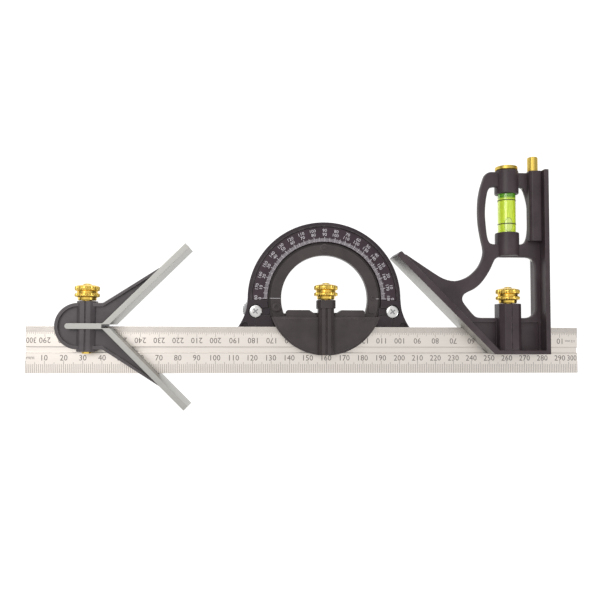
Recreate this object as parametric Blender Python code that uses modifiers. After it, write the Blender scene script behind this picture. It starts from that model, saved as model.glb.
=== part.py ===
"""A combination square set: a steel rule carrying a square head, a protractor head and a centre head.

The set lies on its back on the bench. +X runs along the rule towards its 300 end, +Y points away
from the edge that the heads stand on, and +Z points up, out of the heads' front faces.
Every size is in millimetres and becomes metres when a mesh is made.
"""
import math

import bmesh
import bpy
from mathutils import Matrix, Vector

# ---------------------------------------------------------------- driving dimensions, millimetres
RULE_LENGTH = 300.0
RULE_WIDTH = 25.0
RULE_THICKNESS = 2.2
RULE_BACK = 7.0                 # height of the rule's back face above the bench
GROOVE_WIDTH = 2.9
GROOVE_DEPTH = 1.0

HEAD_DEPTH = 20.5               # from the bench to the ground front faces
GAP = 0.3                       # clearance between neighbouring pieces

# where each head stands, read on the rule's lower scale
CENTRE_HEAD_AT = 44.8           # the point of the V
SQUARE_HEAD_AT = RULE_LENGTH - 19.8   # the square face
MITRE_TO_ARCH = 1.65            # room between the mitre's tip and the protractor's arch

# clamp: a draw bolt with a tongue in the rule's groove, and a knurled nut on top
BOLT_RADIUS = 2.4
BOLT_AHEAD = 4.4                # bolt axis in front of the rule's front face
BOLT_DOME = 0.9
TONGUE_HEIGHT = 1.5
TONGUE_HALF_WIDTH = 1.8
NUT_HEIGHT = 8.2
NUT_RADIUS = BOLT_RADIUS + 4.0
NUT_COLLAR_RADIUS = BOLT_RADIUS + 2.2

# centre head
CENTRE_FRONT = HEAD_DEPTH - 1.9     # its ground faces stand lower than the square head's
CENTRE_RIM_FRONT = CENTRE_FRONT - 2.2
CENTRE_RIM_BACK = 2.4
CENTRE_WEB_FRONT = CENTRE_RIM_FRONT - 1.6
CENTRE_WEB_BACK = 4.2
CENTRE_RIM_WIDTH = 1.8
ARM_LENGTH = 59.0
ARM_THICKNESS = 3.0
CENTRE_BODY_RADIUS = 12.2
CENTRE_BODY_BACK = 15.9         # from the V's point back to the middle of the round end
CENTRE_NECK_BACK = 3.0
CENTRE_CLAMP_BACK = 11.9        # from the V's point back to the clamp
CENTRE_WING_REACH = 31.0        # how far the wings run out along the arms
CENTRE_BOSS_WIDTH = 2 * BOLT_RADIUS + 4.8
CENTRE_BOSS_FRONT = CENTRE_FRONT - 1.0
CENTRE_BOSS_TOP = 13.2
CENTRE_BOSS_FOOT = -RULE_WIDTH / 2 - 0.9
CENTRE_BOLT_PEEK = 1.0
RIB_LENGTH = 20.6
RIB_HALF_HEIGHT = 1.5
RELIEF_HALF = 1.0
RELIEF_BACK = 3.2

# protractor head
TURRET_HEIGHT = 15.6            # centre above the rule's top edge
TURRET_RADIUS = TURRET_HEIGHT + RULE_WIDTH / 2 + 2.9
TURRET_HOLE_RADIUS = TURRET_RADIUS - 7.1
TURRET_FLANGE_RADIUS = TURRET_RADIUS + 1.9
PLATE_FRONT = HEAD_DEPTH - 6.5
PLATE_TOP_DROP = 10.2           # the plate's top edge below the turret's centre
CHORD_DROP = 8.2                # the half-moon opening ends this far below the centre
RIDGE_RISE = 1.7
RIDGE_HALF_LENGTH = TURRET_HOLE_RADIUS - 3.3
FRAME_BACK = 2.4
FRAME_FRONT = 6.6
FRAME_ARCH_RADIUS = TURRET_RADIUS + 11.2
FRAME_BASE_DROP = TURRET_RADIUS + 7.2
FRAME_HALF_LENGTH = FRAME_ARCH_RADIUS + 10.6
BAND_OUTER_RADIUS = FRAME_ARCH_RADIUS - 2.7
BAND_THICKNESS = 0.6
PROTRACTOR_BOSS_WIDTH = 2 * BOLT_RADIUS + 3.6
PROTRACTOR_BOSS_HEAD = PROTRACTOR_BOSS_WIDTH + 1.6
PROTRACTOR_BOSS_FRONT = HEAD_DEPTH - 2.3
PROTRACTOR_BOSS_TOP = -1.2      # below the turret's centre
PROTRACTOR_BOSS_HEAD_HEIGHT = 4.6
SCREW_SPREAD = TURRET_RADIUS + 6.8
SCREW_DROP = 7.1
SCREW_HEAD_RADIUS = 3.5
SCREW_HEAD_HEIGHT = 1.0
SCREW_SHANK_RADIUS = 1.4
SCREW_SLOT_HALF = 1.9
SHOE_THICKNESS = 0.6
SHOE_REACH = TURRET_RADIUS - 0.8    # the shoe's tip rides this far from the turret's centre
LOCK_SPREAD = SCREW_SPREAD + 2.0
LOCK_DROP = 6.3
LOCK_RADIUS = 5.2
LOCK_BACK = 0.4
LOCK_STUD_LENGTH = 0.4

# square head
SQUARE_HEIGHT = 86.2            # top of the square face above the rule's top edge
SQUARE_FOOT = -RULE_WIDTH / 2 - 1.9
SQUARE_WEB_TOP = SQUARE_HEIGHT - 0.4
MITRE_START = 30.7              # the 45 degree face starts this far left of the square face
MITRE_RUN = 52.9
MITRE_TIP = 1.8
FLANGE = 3.4
FOOT_RIM = 2.1
WEB_FRONT = HEAD_DEPTH - 7.5
WEB_THICKNESS = 3.5
WEB_INSET = 1.0                 # the web starts this far inside the ground faces
PANEL_SINK = 1.2
PANEL_TOP = 3.0
SQUARE_CLAMP_BACK = 21.0
SQUARE_BOSS_WIDTH = 2 * BOLT_RADIUS + 7.4
SQUARE_BOSS_FRONT = HEAD_DEPTH - 0.9
SQUARE_BOSS_TOP = 12.9
VIAL_BACK = 19.8
VIAL_RADIUS = 4.9
VIAL_WALL = 1.1
VIAL_TOP = SQUARE_HEIGHT - 1.9
VIAL_LOW = VIAL_TOP - 42.6
VIAL_PLUG_HEIGHT = 3.0
SLEEVE_RADIUS = VIAL_RADIUS + 1.6
SLEEVE_LOW = (VIAL_LOW - 2.4, VIAL_LOW + 10.7)
SLEEVE_HIGH = (VIAL_TOP - 10.5, VIAL_TOP + 2.7)
CAP_RADIUS = SLEEVE_RADIUS - 0.4
CAP_HEIGHT = 2.8
SCRIBER_BACK = 5.7
SCRIBER_Z = HEAD_DEPTH - 8.1
SCRIBER_TOP = SQUARE_HEIGHT + 8.2
SCRIBER_HEAD_RADIUS = 2.8
SCRIBER_SOCKET = 3.0            # how deep the needle sits in its head
SCRIBER_RADIUS = 1.1
SCRIBER_LENGTH = 44.0
SCRIBER_POINT = 5.0
SCRIBER_BOSS_WIDTH = 7.4
SCRIBER_BOSS_TOP = SQUARE_HEIGHT - 0.2
SCRIBER_BOSS_FOOT = SCRIBER_BOSS_TOP - 38.7

# values that follow from those above
RULE_FRONT = RULE_BACK + RULE_THICKNESS
MID_DEPTH = HEAD_DEPTH / 2
BOLT_Z = RULE_FRONT + BOLT_AHEAD
BORE_RADIUS = BOLT_RADIUS + GAP
SLOT_BACK = RULE_BACK - GAP
SLOT_FRONT = RULE_FRONT + GAP
GROOVE_TOP = -RULE_WIDTH / 2 + GROOVE_WIDTH / 2
TONGUE_TOP = GROOVE_TOP - GAP
PAST = 2.0                      # how far a cutter runs past the face that it opens
ROOT_HALF = math.sqrt(0.5)
FACE_STRIP = SCRIBER_BACK - SCRIBER_HEAD_RADIUS - GAP     # the ground strip behind the square face
MITRE_TIP_Y = SQUARE_FOOT + MITRE_RUN
ARCH_TO_TIP = math.sqrt((FRAME_ARCH_RADIUS + MITRE_TO_ARCH) ** 2 - (MITRE_TIP_Y - TURRET_HEIGHT) ** 2)
PROTRACTOR_AT = SQUARE_HEAD_AT - MITRE_START - MITRE_RUN - ARCH_TO_TIP   # the turret's centre
ARM_TIP_Y = ARM_LENGTH * ROOT_HALF + ARM_THICKNESS * ROOT_HALF
MID_Y = (SCRIBER_TOP - ARM_TIP_Y) / 2

SET_NAME = "combination_square"
CASTING_PAINT = (0.035, 0.030, 0.036)
GROUND_STEEL = (0.62, 0.61, 0.59)
BRASS = (0.80, 0.55, 0.14)


def mm(value):
    """Millimetres to metres."""
    return value * 0.001


# ---------------------------------------------------------------- scene, materials and parents
def start_scene():
    """An empty scene with one collection for the parts and one for the cutting tools."""
    for old in list(bpy.data.objects):
        bpy.data.objects.remove(old, do_unlink=True)
    parts = bpy.data.collections.new(SET_NAME)
    tools = bpy.data.collections.new("cutters")
    for group in (parts, tools):
        bpy.context.scene.collection.children.link(group)
    return parts, tools


PARTS, TOOLS = start_scene()


def anchor(name, parent=None, at=(0.0, 0.0, 0.0)):
    """An empty that the pieces of one moving group hang from."""
    empty = bpy.data.objects.new(name, None)
    empty.location = [mm(value) for value in at]
    empty.parent = parent
    PARTS.objects.link(empty)
    return empty


def paint(part, colour, roughness, metallic=0.0, alpha=1.0):
    """Give a part its own Principled material."""
    material = bpy.data.materials.new(part.name)
    material.use_nodes = True
    shader = material.node_tree.nodes["Principled BSDF"]
    shader.inputs["Base Color"].default_value = (*colour, 1.0)
    shader.inputs["Roughness"].default_value = roughness
    shader.inputs["Metallic"].default_value = metallic
    shader.inputs["Alpha"].default_value = alpha
    part.data.materials.append(material)


def place(name, mesh, parent, group=None):
    """Link a mesh as an object under its anchor: a part, or a tool when group says so."""
    thing = bpy.data.objects.new(name, mesh)
    thing.parent = parent
    (group or PARTS).objects.link(thing)
    if group is TOOLS:
        thing.hide_render = True
        thing.display_type = "WIRE"
    return thing


def blend(part, tool, operation):
    """Join a tool to a part, or cut it away, with an exact Boolean."""
    step = part.modifiers.new(tool.name, "BOOLEAN")
    step.operation = operation
    step.solver = "EXACT"
    step.object = tool


def join(part, *shapes):
    """Add shapes to a part."""
    for mesh in shapes:
        blend(part, place(f"{part.name}_add", mesh, part.parent, TOOLS), "UNION")


def cut(part, *shapes):
    """Cut shapes out of a part."""
    for mesh in shapes:
        blend(part, place(f"{part.name}_cut", mesh, part.parent, TOOLS), "DIFFERENCE")


# ---------------------------------------------------------------- shapes
def box(low, high):
    """A block between two opposite corners."""
    size = [mm(b - a) for a, b in zip(low, high)]
    middle = [mm(a + b) / 2 for a, b in zip(low, high)]
    shape = bmesh.new()
    bmesh.ops.create_cube(shape, size=1.0)
    bmesh.ops.scale(shape, vec=size, verts=shape.verts)
    bmesh.ops.translate(shape, vec=middle, verts=shape.verts)
    return finished(shape)


def rod(radius, start, end, sides=32, end_radius=None):
    """A cylinder, or a cone, from one point to another."""
    start, end = Vector(start), Vector(end)
    along = end - start
    turn = along.to_track_quat("Z", "Y").to_matrix().to_4x4()
    shape = bmesh.new()
    bmesh.ops.create_cone(
        shape, cap_ends=True, segments=sides, depth=mm(along.length),
        radius1=mm(radius), radius2=mm(radius if end_radius is None else end_radius),
        matrix=Matrix.Translation((start + end) * mm(0.5)) @ turn)
    return finished(shape)


def finished(shape):
    """Turn a bmesh into a mesh whose faces point out."""
    bmesh.ops.recalc_face_normals(shape, faces=shape.faces)
    mesh = bpy.data.meshes.new("shape")
    shape.to_mesh(mesh)
    shape.free()
    return mesh


def slab(loops, low, high):
    """A flat outline, with any holes in it, made solid between two heights."""
    curve = bpy.data.curves.new("outline", "CURVE")
    curve.dimensions = "2D"
    curve.fill_mode = "BOTH"
    curve.extrude = mm(high - low) / 2
    for loop in loops:
        spline = curve.splines.new("POLY")
        spline.points.add(len(loop) - 1)
        spline.use_cyclic_u = True
        for point, (x, y) in zip(spline.points, loop):
            point.co = (mm(x), mm(y), 0.0, 1.0)
    flat = bpy.data.objects.new("outline", curve)
    bpy.context.scene.collection.objects.link(flat)
    depsgraph = bpy.context.evaluated_depsgraph_get()
    mesh = bpy.data.meshes.new_from_object(flat.evaluated_get(depsgraph))
    bpy.data.objects.remove(flat, do_unlink=True)
    shape = bmesh.new()
    shape.from_mesh(mesh)
    bmesh.ops.remove_doubles(shape, verts=shape.verts, dist=0.000001)
    bmesh.ops.translate(shape, vec=(0.0, 0.0, mm(low + high) / 2), verts=shape.verts)
    return finished(shape)


def beam(section, x, low, high):
    """A constant (x, z) section run along Y from low to high, centred on x."""
    mesh = slab([[(u, -w) for u, w in section]], low, high)
    lay_down = Matrix.Translation((mm(x), 0.0, 0.0)) @ Matrix.Rotation(math.radians(-90), 4, "X")
    mesh.transform(lay_down)
    return mesh


def arc(centre, radius, first, last, steps):
    """Points round a circle, from one angle to another in degrees."""
    points = []
    for step in range(steps + 1):
        angle = math.radians(first + (last - first) * step / steps)
        points.append((centre[0] + radius * math.cos(angle), centre[1] + radius * math.sin(angle)))
    return points


def rounded(corners, steps=5):
    """An outline through (x, y, radius) corners, with each corner rounded by its radius."""
    points = []
    count = len(corners)
    for index, (x, y, radius) in enumerate(corners):
        here = Vector((x, y))
        before = (Vector(corners[index - 1][:2]) - here).normalized()
        after = (Vector(corners[(index + 1) % count][:2]) - here).normalized()
        if radius <= 0.0:
            points.append((x, y))
            continue
        half = before.angle(after) / 2
        centre = here + (before + after).normalized() * radius / math.sin(half)
        start = here + before * radius / math.tan(half) - centre
        end = here + after * radius / math.tan(half) - centre
        sweep = start.angle_signed(end)
        for step in range(steps + 1):
            turned = start.copy()
            turned.rotate(Matrix.Rotation(-sweep * step / steps, 2))
            points.append(tuple(centre + turned))
    return points


def smooth(points, steps=3):
    """A Catmull-Rom curve through the points, open at both ends."""
    vectors = [Vector(point) for point in points]
    padded = [2 * vectors[0] - vectors[1], *vectors, 2 * vectors[-1] - vectors[-2]]
    curve = []
    for a, b, c, d in zip(padded, padded[1:], padded[2:], padded[3:]):
        for step in range(steps):
            t = step / steps
            point = (2 * b + (c - a) * t + (2 * a - 5 * b + 4 * c - d) * t ** 2
                     + (3 * b - a - 3 * c + d) * t ** 3) / 2
            curve.append(tuple(point))
    curve.append(tuple(vectors[-1]))
    return curve


def turned(name, profile, parent, at, standing="Y", sides=32):
    """A turned piece: (radius, height) points from the top down, spun about its own axis."""
    mesh = bpy.data.meshes.new(name)
    verts = [(mm(radius), 0.0, mm(height)) for radius, height in profile]
    edges = [(index, index + 1) for index in range(len(verts) - 1)]
    if profile[0][0] > 0.0:
        edges.append((len(verts) - 1, 0))
    mesh.from_pydata(verts, edges, [])
    piece = place(name, mesh, parent)
    piece.location = [mm(value) for value in at]
    if standing == "Y":
        piece.rotation_euler.x = math.radians(-90)
    spin = piece.modifiers.new("spin", "SCREW")
    spin.steps = sides
    spin.render_steps = sides
    spin.use_merge_vertices = True
    spin.merge_threshold = 0.00001
    return piece


def shade(part):
    """Smooth round surfaces and keep sharp corners."""
    part.data.shade_smooth()
    part.data.set_sharp_from_angle(angle=math.radians(35))


# ---------------------------------------------------------------- what every clamp has
def clamp_section(width, front):
    """The (x, z) section of an octagonal clamp boss that stands on the rule slot."""
    half = width / 2
    shoulder = half * 0.55
    return [(-half, SLOT_FRONT), (-half, front - half + shoulder), (-shoulder, front),
            (shoulder, front), (half, front - half + shoulder), (half, SLOT_FRONT)]


def open_clamp(casting, x, shift, low, high):
    """Bore a casting for its draw bolt and open the pocket that the tongue reaches through."""
    cut(casting,
        rod(BORE_RADIUS, (x, low - PAST, BOLT_Z), (x, high + PAST, BOLT_Z)),
        box((x - TONGUE_HALF_WIDTH - GAP, low - PAST, SLOT_FRONT - 1.0),
            (x + TONGUE_HALF_WIDTH + GAP, shift + TONGUE_TOP + GAP, BOLT_Z)))


def clamp(prefix, head, x, shift, foot, boss_top):
    """A draw bolt and its knurled nut, on a boss whose top is at boss_top."""
    nut_base = boss_top + GAP
    nut_top = nut_base + NUT_HEIGHT
    dome = nut_top + BOLT_DOME
    shank = [(0.0, dome), (BOLT_RADIUS * 0.6, dome), (BOLT_RADIUS, nut_top),
             (BOLT_RADIUS, foot), (0.0, foot)]
    bolt = turned(f"{prefix}_draw_bolt", shank, head, (x, 0.0, BOLT_Z), sides=24)
    tongue_low = shift + TONGUE_TOP - TONGUE_HEIGHT
    join(bolt, box((x - TONGUE_HALF_WIDTH, tongue_low, RULE_FRONT - GROOVE_DEPTH + GAP),
                   (x + TONGUE_HALF_WIDTH, shift + TONGUE_TOP, BOLT_Z)))
    paint(bolt, BRASS, 0.3, 1.0)
    shade(bolt)
    bore = BORE_RADIUS
    rim = NUT_RADIUS
    waist = NUT_RADIUS - 1.2
    profile = [
        (bore, NUT_HEIGHT), (bore + 1.0, NUT_HEIGHT), (rim - 0.5, 7.6), (rim, 7.2), (rim, 5.5),
        (rim - 0.4, 5.1), (waist, 5.0), (waist, 3.9), (rim - 0.4, 3.8), (rim, 3.4), (rim, 2.1),
        (rim - 0.6, 1.7), (NUT_COLLAR_RADIUS + 0.4, 1.6), (NUT_COLLAR_RADIUS, 0.0), (bore, 0.0)]
    nut = turned(f"{prefix}_clamp_nut", profile, head, (x, nut_base, BOLT_Z))
    paint(nut, BRASS, 0.28, 1.0)
    shade(nut)


# ---------------------------------------------------------------- the rule
def make_rule(root):
    half = RULE_LENGTH / 2
    rule = place("rule", box((-half, -RULE_WIDTH, RULE_BACK), (half, 0.0, RULE_FRONT)), root)
    cut(rule, box((-half - PAST, GROOVE_TOP - GROOVE_WIDTH, RULE_FRONT - GROOVE_DEPTH),
                  (half + PAST, GROOVE_TOP, RULE_FRONT + PAST)))
    paint(rule, GROUND_STEEL, 0.32, 1.0)


def rule_slot(x_low, x_high, y_low, y_high):
    """The space that the rule slides through."""
    return box((x_low, y_low, SLOT_BACK), (x_high, y_high, SLOT_FRONT))


# ---------------------------------------------------------------- the centre head
def centre_outline(inset, into_arm=1.0):
    """Round end, neck and wings up to the arms, drawn in from the edge by inset."""
    radius = CENTRE_BODY_RADIUS - inset
    arm_root = -ARM_THICKNESS / ROOT_HALF + into_arm
    neck = (-CENTRE_NECK_BACK, radius)
    reach = CENTRE_WING_REACH - inset * 2.6
    wing = (reach, reach - arm_root)
    upper = [(arm_root, 0.0), wing, neck]
    lower = [(neck[0], -neck[1]), (wing[0], -wing[1])]
    return upper + arc((-CENTRE_BODY_BACK, 0.0), radius, 90, 270, 20) + lower


def ground_rib():
    """The Y of ground metal: both arms of the V and the rib that runs back from its point."""
    reach = ARM_LENGTH * ROOT_HALF
    across = ARM_THICKNESS * ROOT_HALF
    upper = [(0.0, 0.0), (reach, reach), (reach - across, reach + across),
             (RIB_HALF_HEIGHT - ARM_THICKNESS / ROOT_HALF, RIB_HALF_HEIGHT)]
    lower = [(x, -y) for x, y in reversed(upper[1:])]
    return upper + arc((-RIB_LENGTH, 0.0), RIB_HALF_HEIGHT, 90, 270, 8) + lower


def make_centre_head(root):
    head = anchor("centre_head_origin", root, (CENTRE_HEAD_AT - RULE_LENGTH / 2, 0.0, 0.0))
    clamp_x = -CENTRE_CLAMP_BACK
    casting = place("centre_head", slab([centre_outline(0.0)], CENTRE_RIM_BACK, CENTRE_RIM_FRONT), head)
    boss = clamp_section(CENTRE_BOSS_WIDTH, CENTRE_BOSS_FRONT)
    relief = [(-RELIEF_BACK, -RELIEF_HALF), (PAST, -RELIEF_HALF),
              (PAST, RELIEF_HALF), (-RELIEF_BACK, RELIEF_HALF)]
    cut(casting,
        slab([centre_outline(CENTRE_RIM_WIDTH)], CENTRE_WEB_FRONT, HEAD_DEPTH),
        slab([centre_outline(CENTRE_RIM_WIDTH)], -PAST, CENTRE_WEB_BACK))
    join(casting,
         beam(boss, clamp_x, CENTRE_BOSS_FOOT, CENTRE_BOSS_TOP),
         slab([ground_rib()], 0.0, CENTRE_FRONT))
    cut(casting,
        slab([relief], -PAST, HEAD_DEPTH),
        rule_slot(-60.0, 60.0, -RULE_WIDTH - GAP, GAP))
    open_clamp(casting, clamp_x, 0.0, CENTRE_BOSS_FOOT, CENTRE_BOSS_TOP)
    paint(casting, CASTING_PAINT, 0.45)
    shade(casting)
    clamp("centre_head", head, clamp_x, 0.0, CENTRE_BOSS_FOOT - CENTRE_BOLT_PEEK, CENTRE_BOSS_TOP)


# ---------------------------------------------------------------- the protractor head
def frame_outline():
    """Round arch, flared feet and a straight base, about the turret's centre."""
    arch, foot = FRAME_ARCH_RADIUS, FRAME_HALF_LENGTH
    flare = smooth([(foot, -24.0), (foot - 2.4, -19.5), (arch + 4.6, -15.0), (arch + 2.0, -10.0),
                    (arch + 0.6, -5.5), (arch, 0.0)])
    right = [(FRAME_HALF_LENGTH, -FRAME_BASE_DROP), *flare]
    left = [(-x, y) for x, y in reversed(right)]
    return right + arc((0.0, 0.0), FRAME_ARCH_RADIUS, 0, 180, 48)[1:-1] + left


def ring_piece(inner, outer, first, last, steps):
    """A flat ring sector as an outline."""
    return arc((0, 0), outer, first, last, steps) + arc((0, 0), inner, last, first, steps)


def shoe_outline(side, extra):
    """A keyhole-shaped shoe: round at the screw, with a tongue towards the turret."""
    x = SCREW_SPREAD
    half = 1.6 + extra
    turn = arc((x, -SCREW_DROP), SCREW_HEAD_RADIUS - 0.1 + extra, -150, 150, 16)
    tip = SHOE_REACH - extra
    outline = turn + [(tip, -SCREW_DROP + half + 0.2), (tip, -SCREW_DROP - half - 0.2)]
    return [(side * px, py) for px, py in outline]


def make_protractor(root):
    at = (PROTRACTOR_AT - RULE_LENGTH / 2, TURRET_HEIGHT, 0.0)
    turret_axis = anchor("turret_origin", root, at)
    frame_axis = anchor("protractor_frame_origin", turret_axis)
    make_turret(turret_axis)
    make_frame(frame_axis)
    for side, word in ((-1, "left"), (1, "right")):
        make_shoe(frame_axis, side, word)
        make_screw(frame_axis, side, word)
    make_lock_screw(frame_axis)


def full_ring(inner, outer):
    """A closed flat ring, as an outline and its hole."""
    return [arc((0, 0), outer, 0, 355, 71), arc((0, 0), inner, 0, 355, 71)]


def make_turret(head):
    rim = TURRET_RADIUS
    slot_top = -TURRET_HEIGHT + GAP
    ring_front = FRAME_FRONT - 0.1
    turret = place("turret", rod(rim, (0, 0, FRAME_BACK), (0, 0, ring_front), 72), head)
    reach = math.degrees(math.asin(-CHORD_DROP / TURRET_HOLE_RADIUS))
    half_moon = arc((0, 0), TURRET_HOLE_RADIUS, reach, 180 - reach, 40)
    plate_reach = math.degrees(math.asin(-PLATE_TOP_DROP / rim))
    plate = arc((0, 0), rim, 180 - plate_reach, 360 + plate_reach, 40)
    boss = clamp_section(PROTRACTOR_BOSS_WIDTH, PROTRACTOR_BOSS_FRONT)
    boss_head = clamp_section(PROTRACTOR_BOSS_HEAD, PROTRACTOR_BOSS_FRONT + 0.4)
    head_low = PROTRACTOR_BOSS_TOP - PROTRACTOR_BOSS_HEAD_HEIGHT
    rebate_floor = FRAME_FRONT - SCREW_HEAD_HEIGHT - SHOE_THICKNESS - 2 * GAP
    bridge = TURRET_HOLE_RADIUS
    join(turret,
         rod(TURRET_FLANGE_RADIUS, (0, 0, FRAME_BACK + 0.2), (0, 0, FRAME_BACK + 1.2), 72),
         slab([plate], SLOT_FRONT, PLATE_FRONT),
         box((-bridge, slot_top, FRAME_BACK + 1.0), (bridge, -PLATE_TOP_DROP, PLATE_FRONT - 1.0)))
    cut(turret, slab([half_moon], -PAST, HEAD_DEPTH))
    join(turret,
         box((-RIDGE_HALF_LENGTH, slot_top + 1.0, FRAME_BACK + 0.6),
             (RIDGE_HALF_LENGTH, -CHORD_DROP + RIDGE_RISE, PLATE_FRONT - 3.0)),
         beam(boss, 0.0, -rim + 0.4, head_low + 0.6),
         beam(boss_head, 0.0, head_low, PROTRACTOR_BOSS_TOP))
    cut(turret, slab(full_ring(SHOE_REACH - 0.6, rim + PAST), rebate_floor, FRAME_FRONT + 0.1))
    open_clamp(turret, 0.0, -TURRET_HEIGHT, -rim, PROTRACTOR_BOSS_TOP)
    paint(turret, CASTING_PAINT, 0.5)
    shade(turret)
    foot = -TURRET_HEIGHT + TONGUE_TOP - TONGUE_HEIGHT - 0.6
    clamp("turret", head, 0.0, -TURRET_HEIGHT, foot, PROTRACTOR_BOSS_TOP)


def make_frame(head):
    frame = place("protractor_frame",
                  slab([frame_outline(), full_ring(TURRET_RADIUS + GAP, TURRET_RADIUS + PAST)[1]],
                       FRAME_BACK, FRAME_FRONT), head)
    band_floor = FRAME_FRONT - BAND_THICKNESS - GAP - 0.2
    flange_room = rod(TURRET_FLANGE_RADIUS + GAP, (0, 0, FRAME_BACK - PAST), (0, 0, FRAME_BACK + 1.5), 72)
    band_room = slab([ring_piece(TURRET_RADIUS, BAND_OUTER_RADIUS + GAP, -1.5, 181.5, 48)],
                     band_floor, FRAME_FRONT + PAST)
    shoe_floor = FRAME_FRONT - SCREW_HEAD_HEIGHT - SHOE_THICKNESS - 2 * GAP
    cut(frame, flange_room, band_room)
    for side in (-1, 1):
        x = side * SCREW_SPREAD
        cut(frame,
            slab([shoe_outline(side, GAP + 0.2)], shoe_floor, FRAME_FRONT + PAST),
            rod(SCREW_SHANK_RADIUS + GAP, (x, -SCREW_DROP, shoe_floor - 1.1),
                (x, -SCREW_DROP, FRAME_FRONT), 20))
    cut(frame, rod(SCREW_SHANK_RADIUS, (-LOCK_SPREAD, -LOCK_DROP, FRAME_BACK - PAST),
                   (-LOCK_SPREAD, -LOCK_DROP, FRAME_BACK + LOCK_STUD_LENGTH + GAP), 20))
    paint(frame, CASTING_PAINT, 0.42)
    shade(frame)
    band = place("degree_band",
                 slab([ring_piece(TURRET_RADIUS + GAP, BAND_OUTER_RADIUS, -1.0, 181.0, 48)],
                      band_floor + GAP, band_floor + GAP + BAND_THICKNESS), head)
    paint(band, (0.02, 0.018, 0.022), 0.4)
    shade(band)


def make_shoe(head, side, word):
    """The shoe that keeps the turret from dropping out of the frame."""
    back = FRAME_FRONT - SCREW_HEAD_HEIGHT - SHOE_THICKNESS - GAP
    hole = arc((side * SCREW_SPREAD, -SCREW_DROP), SCREW_SHANK_RADIUS + GAP, 0, 342, 19)
    plate = slab([shoe_outline(side, 0.0), hole], back, back + SHOE_THICKNESS)
    shoe = place(f"turret_shoe_{word}", plate, head)
    paint(shoe, CASTING_PAINT, 0.5)
    shade(shoe)


def make_screw(head, side, word):
    """A flat-topped cross-head screw with its head just under the frame's face."""
    low = -SCREW_HEAD_HEIGHT + 0.1
    head_radius = SCREW_HEAD_RADIUS
    end = -SCREW_HEAD_HEIGHT - SHOE_THICKNESS - 1.4
    profile = [(0.0, -0.05), (head_radius - 0.5, -0.05), (head_radius, -0.35), (head_radius, low),
               (SCREW_SHANK_RADIUS, low), (SCREW_SHANK_RADIUS, end), (0.0, end)]
    at = (side * SCREW_SPREAD, -SCREW_DROP, FRAME_FRONT)
    screw = turned(f"shoe_screw_{word}", profile, head, at, "Z", 28)
    cross = SCREW_SLOT_HALF
    for turn_by in (45, 135):
        slot = box((-cross, -0.3, -0.6), (cross, 0.3, PAST))
        slot.transform(Matrix.Translation([mm(value) for value in at])
                       @ Matrix.Rotation(math.radians(turn_by), 4, "Z"))
        cut(screw, slot)
    paint(screw, (0.75, 0.75, 0.74), 0.25, 1.0)
    shade(screw)


def make_lock_screw(head):
    """A thumb disc behind the frame whose short stud bears in the frame's back."""
    stud = SCREW_SHANK_RADIUS - GAP
    back = LOCK_BACK - FRAME_BACK
    chamfer = 0.4
    profile = [(0.0, LOCK_STUD_LENGTH), (stud, LOCK_STUD_LENGTH), (stud, -GAP),
               (LOCK_RADIUS - chamfer, -GAP), (LOCK_RADIUS, -GAP - chamfer),
               (LOCK_RADIUS, back + chamfer), (LOCK_RADIUS - chamfer, back), (0.0, back)]
    lock = turned("lock_screw", profile, head, (-LOCK_SPREAD, -LOCK_DROP, FRAME_BACK), "Z", 28)
    paint(lock, (0.45, 0.45, 0.46), 0.35, 1.0)
    shade(lock)


# ---------------------------------------------------------------- the square head
def square_outline():
    """The web: handle and mitre edge, drawn in from the square face at x = 0 and from the mitre."""
    top = SQUARE_WEB_TOP
    handle = smooth([(-24.0, top), (-28.4, top + 0.3), (-31.0, top - 0.2), (-32.9, top - 2.0),
                     (-34.3, top - 5.8), (-35.5, 76.0), (-36.5, 70.3), (-36.8, 63.1), (-36.4, 56.0),
                     (-35.2, 48.9), (-34.0, 43.0), (-34.2, 39.6), (-35.3, 36.2), (-37.2, 32.8),
                     (-40.4, 29.5), (-44.2, 27.0), (-50.0, 25.4), (-56.2, 26.7), (-62.4, 30.3),
                     (-70.3, 35.5), (-76.8, 39.8)], 2)
    tip = (-MITRE_START - MITRE_RUN, SQUARE_FOOT + MITRE_RUN)
    inset = WEB_INSET
    foot = SQUARE_FOOT + inset
    return ([(-inset, foot), (-inset, SQUARE_WEB_TOP)] + handle
            + [(tip[0] + 2.6 * inset, tip[1] + 1.4 * inset), (tip[0] + 1.6 * inset, tip[1] - 0.2 * inset),
               (-MITRE_START + 0.4 * inset, foot)])


def square_border():
    """The ground border: the 45 degree strip, the foot and the strip behind the square face."""
    tip = (-MITRE_START - MITRE_RUN, SQUARE_FOOT + MITRE_RUN)
    back = FLANGE / ROOT_HALF
    foot = SQUARE_FOOT + FOOT_RIM
    return [(0.0, SQUARE_FOOT), (0.0, SQUARE_HEIGHT), (-FACE_STRIP, SQUARE_HEIGHT), (-FACE_STRIP, foot),
            (-MITRE_START + back - FOOT_RIM, foot), (tip[0] + back / 2 + 0.3, tip[1] + back / 2 - 0.3),
            (tip[0] + MITRE_TIP, tip[1] + MITRE_TIP), tip, (-MITRE_START, SQUARE_FOOT)]


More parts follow.
